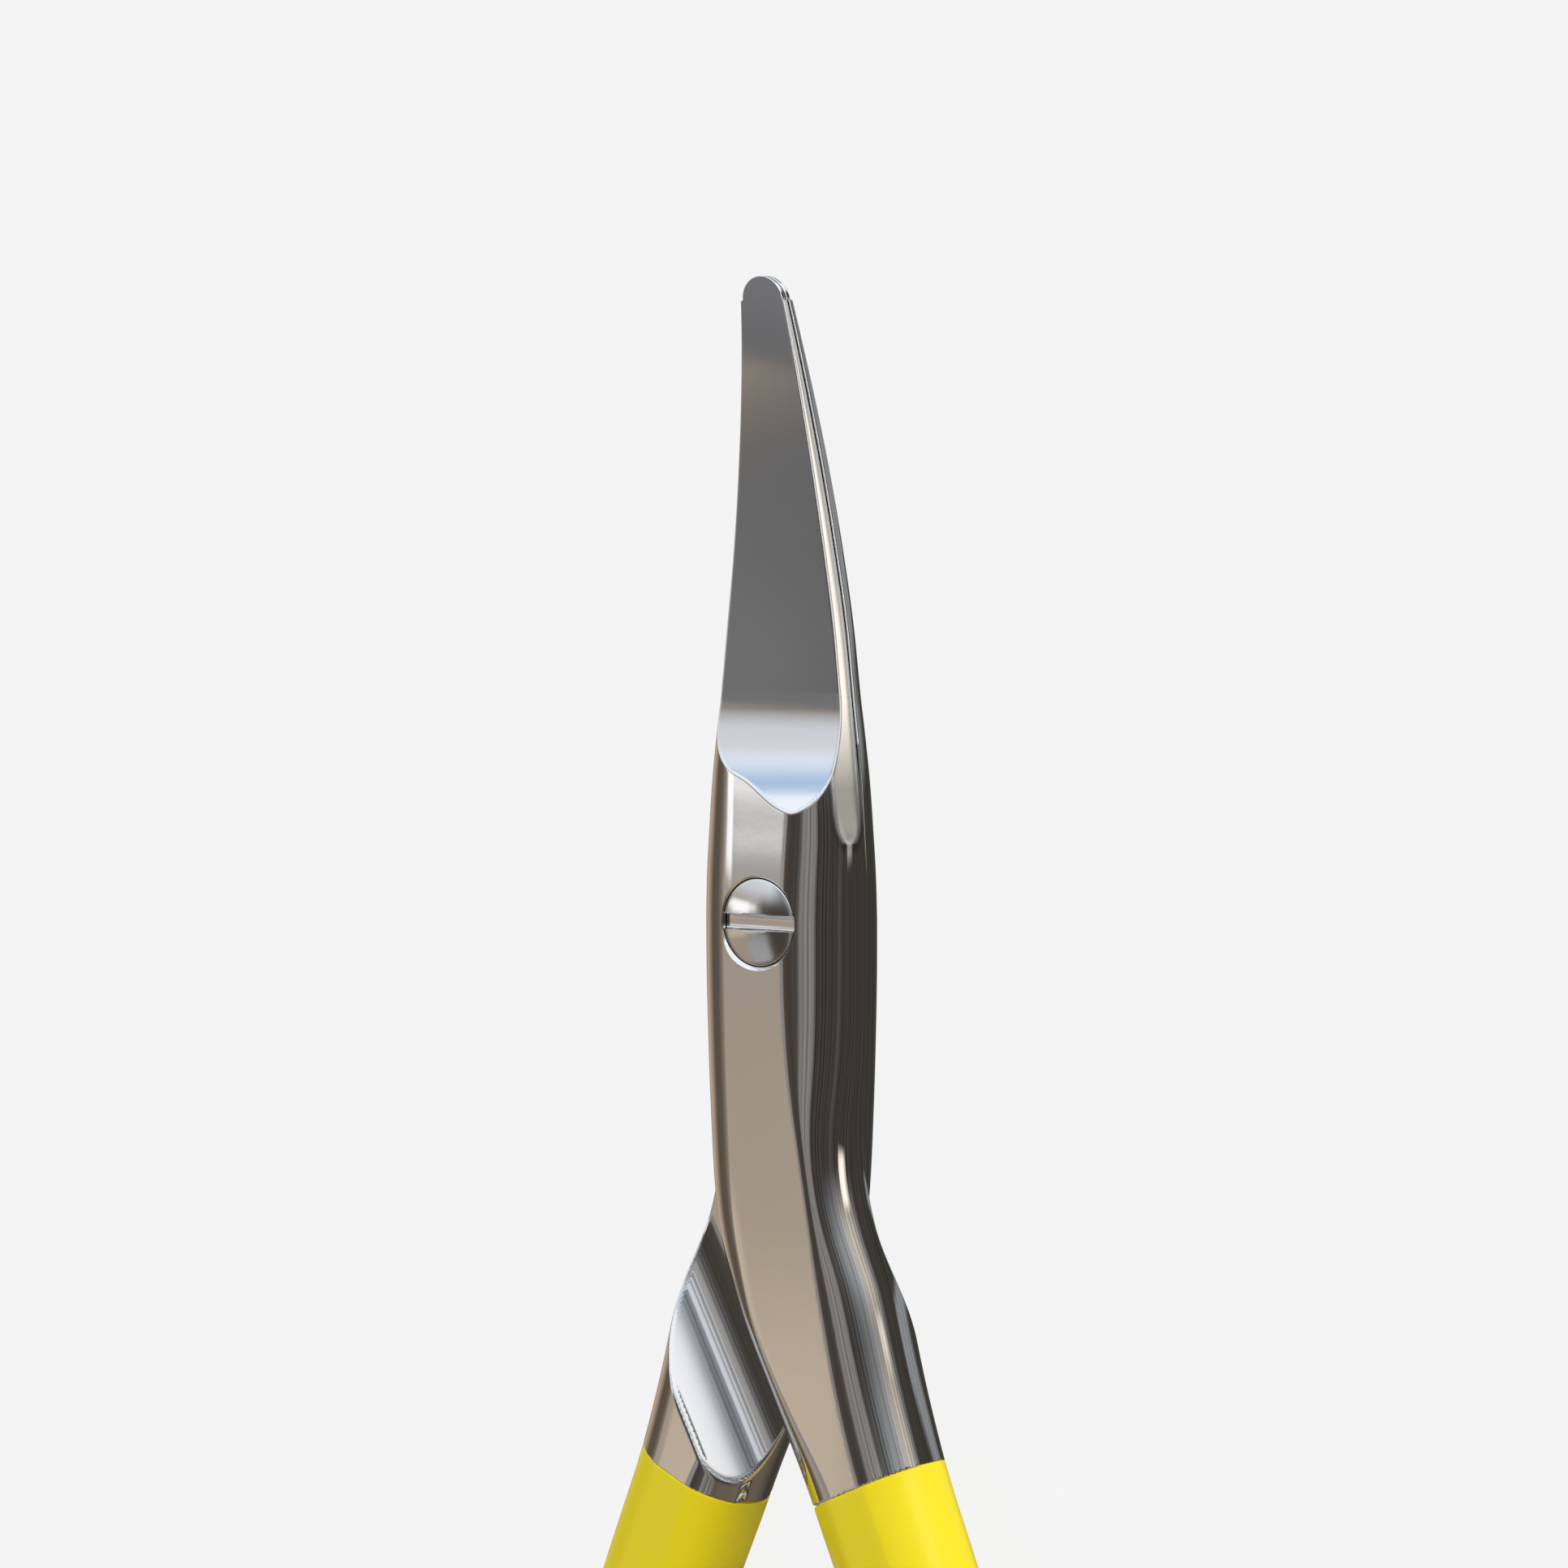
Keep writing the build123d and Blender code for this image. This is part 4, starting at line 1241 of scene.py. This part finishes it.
start = n.math("MAXIMUM", start, n.math("MULTIPLY", hi_w, window(th01, [(T(100), 0.0), (T(112), 1.0), (T(180), 1.0)])))
rise_w = n.math("MAXIMUM", start, start_b)
wmix = n.math("MULTIPLY", rise_w, sw)
c1 = n.mix(wmix, mid.outputs[0], up)
facet = n.math("MULTIPLY", n.math("MULTIPLY", spread(elev, -1.5, 3.0), spread(elev, 15, 11)), window(th01, [(T(85), 0.0), (T(88), 1.0), (T(98), 1.0), (T(101), 0.0)]))
c1 = n.mix(facet, c1, w8(252, 243, 232))
stripe = n.add("ShaderNodeMix", data_type="RGBA", blend_type="MULTIPLY")
n.link(n.math("MULTIPLY", spread(theta, -16, -2), spread(elev, 30, 20)), stripe.inputs[0])
n.link(c1, stripe.inputs[6])
n.link(lines.outputs[0], stripe.inputs[7])
c1 = stripe.outputs[2]
# the flat faces look at one narrow band on the left: warm card below, white above
low01 = n.math("MULTIPLY", n.math("ADD", elev, math.radians(14)), 1 / math.radians(22), clamp=True)
L = lambda d: (d + 14) / 22
low = n.ramp(low01, [
    (0.0, w8(150, 138, 124)), (L(-11.5), w8(186, 172, 155)), (L(-9.6), w8(182, 168, 152)), (L(-8.0), w8(163, 150, 135)), (L(-5.6), w8(156, 145, 134)),
    (L(-3.6), w8(156, 147, 138)), (L(0.5), w8(157, 151, 145)), (L(2.0), w8(160, 158, 157)), (L(2.6), w8(174, 173, 172)), (L(3.05), w8(197, 197, 196)),
    (L(3.3), w8(208, 208, 207)), (L(3.7), w8(224, 224, 224)), (L(6.2), w8(228, 228, 229)), (1.0, w8(160, 161, 163)),
])
whiten = n.math("MULTIPLY", window(th01, [(T(-66), 0.0), (T(-60), 1.0), (T(-45), 1.0), (T(-40.5), 0.0)]), spread(elev, -1.0, 2.5))
low_c = n.mix(whiten, low.outputs[0], w8(252, 252, 253))
band = window(th01, [(T(-72), 0.0), (T(-66), 1.0), (T(-36.4), 1.0), (T(-34.8), 0.0)])
below = spread(elev, 9.0, 7.0)
c2 = n.mix(n.math("MULTIPLY", band, below), c1, low_c)
# neutral card for the ground faces
g01 = n.math("MULTIPLY", n.math("ADD", elev, math.radians(30)), 1 / math.radians(36), clamp=True)
G = lambda d: (d + 30) / 36
card = n.ramp(g01, [(0.0, w8(150, 150, 152)), (G(-18), w8(144, 144, 146)), (G(-11), w8(122, 122, 123)), (G(-6), w8(126, 126, 127)), (G(-1), w8(138, 138, 139)), (1.0, w8(138, 138, 139))])
gband = window(th01, [(T(-35.8), 0.0), (T(-34.4), 1.0), (T(-31.8), 1.0), (T(-30.4), 0.0)])
gtip = n.math("MULTIPLY", window(th01, [(T(-50), 0.0), (T(-44), 1.0), (T(-28), 1.0), (T(-22), 0.0)]), spread(elev, -10.7, -12.2))
gband = n.math("MAXIMUM", gband, gtip)
c2 = n.mix(n.math("MULTIPLY", gband, spread(elev, 9, 3)), c2, card.outputs[0])
# under the horizon, far down: brown
deep = n.ramp(el01, [(0.0, w8(176, 152, 128)), (E(-70), w8(160, 138, 116)), (E(-45), w8(98, 88, 78)), (E(-20), w8(100, 90, 80))])
c2 = n.mix(spread(elev, -27, -42), c2, deep.outputs[0])
n.link(c2, bg.inputs[0])
bg.inputs[1].default_value = 1.0
bgc.inputs[0].default_value = (0.905, 0.905, 0.905, 1)
bgc.inputs[1].default_value = 1.0
n.link(lp.outputs["Is Camera Ray"], mixs.inputs[0])
n.link(bg.outputs[0], mixs.inputs[1])
n.link(bgc.outputs[0], mixs.inputs[2])
n.link(mixs.outputs[0], wout.inputs[0])


# ------------------------------------------------------------------ lights
from mathutils import Matrix, Vector


def area(name, at, look, w, h, power, color=(1, 1, 1), glossy=False):
    ld = bpy.data.lights.new(name, "AREA")
    ld.shape = "RECTANGLE"
    ld.size, ld.size_y = w, h
    ld.energy = power
    ld.color = color
    ob = bpy.data.objects.new(name, ld)
    bpy.context.scene.collection.objects.link(ob)
    d = (Vector(look) - Vector(at)).normalized()
    ob.rotation_euler = d.to_track_quat("-Z", "Y").to_euler()
    ob.location = at
    ob.visible_glossy = glossy
    ob.visible_camera = False
    return ob


area("key", (0.62, 0.05, 0.10), (0, -0.05, 0.005), 0.45, 0.45, 4.4)
area("fill", (-0.30, 0.05, 0.60), (0, -0.05, 0.005), 0.5, 0.5, 1.9)

# ------------------------------------------------------------------ camera
az, el, roll = math.radians(37.0), math.radians(3.2), math.radians(-0.2)
D = 0.420
c = Vector((math.cos(el) * math.sin(az), math.sin(el), math.cos(el) * math.cos(az)))
r = Vector((0, 1, 0)).cross(c).normalized()
u = c.cross(r)
r2 = r * math.cos(roll) + u * math.sin(roll)
u2 = -r * math.sin(roll) + u * math.cos(roll)
target = Vector((0, 0, 0.0046)) + r2 * (-9 / 15600) + u2 * (166 / 15600)
cam_data = bpy.data.cameras.new("photo_camera")
cam_data.sensor_width = 36.0
cam_data.lens = 36.0 * 15600 * D / 1932
cam_data.clip_start = 0.01
cam_data.clip_end = 10.0
cam = bpy.data.objects.new("photo_camera", cam_data)
bpy.context.scene.collection.objects.link(cam)
m = Matrix((r2, u2, c)).transposed().to_4x4()
m.translation = target + c * D
cam.matrix_world = m
bpy.context.scene.camera = cam

scene = bpy.context.scene
scene.view_settings.view_transform = "Standard"
scene.view_settings.look = "None"
scene.view_settings.exposure = 0.0
scene.view_settings.gamma = 1.0

bpy.context.view_layer.update()
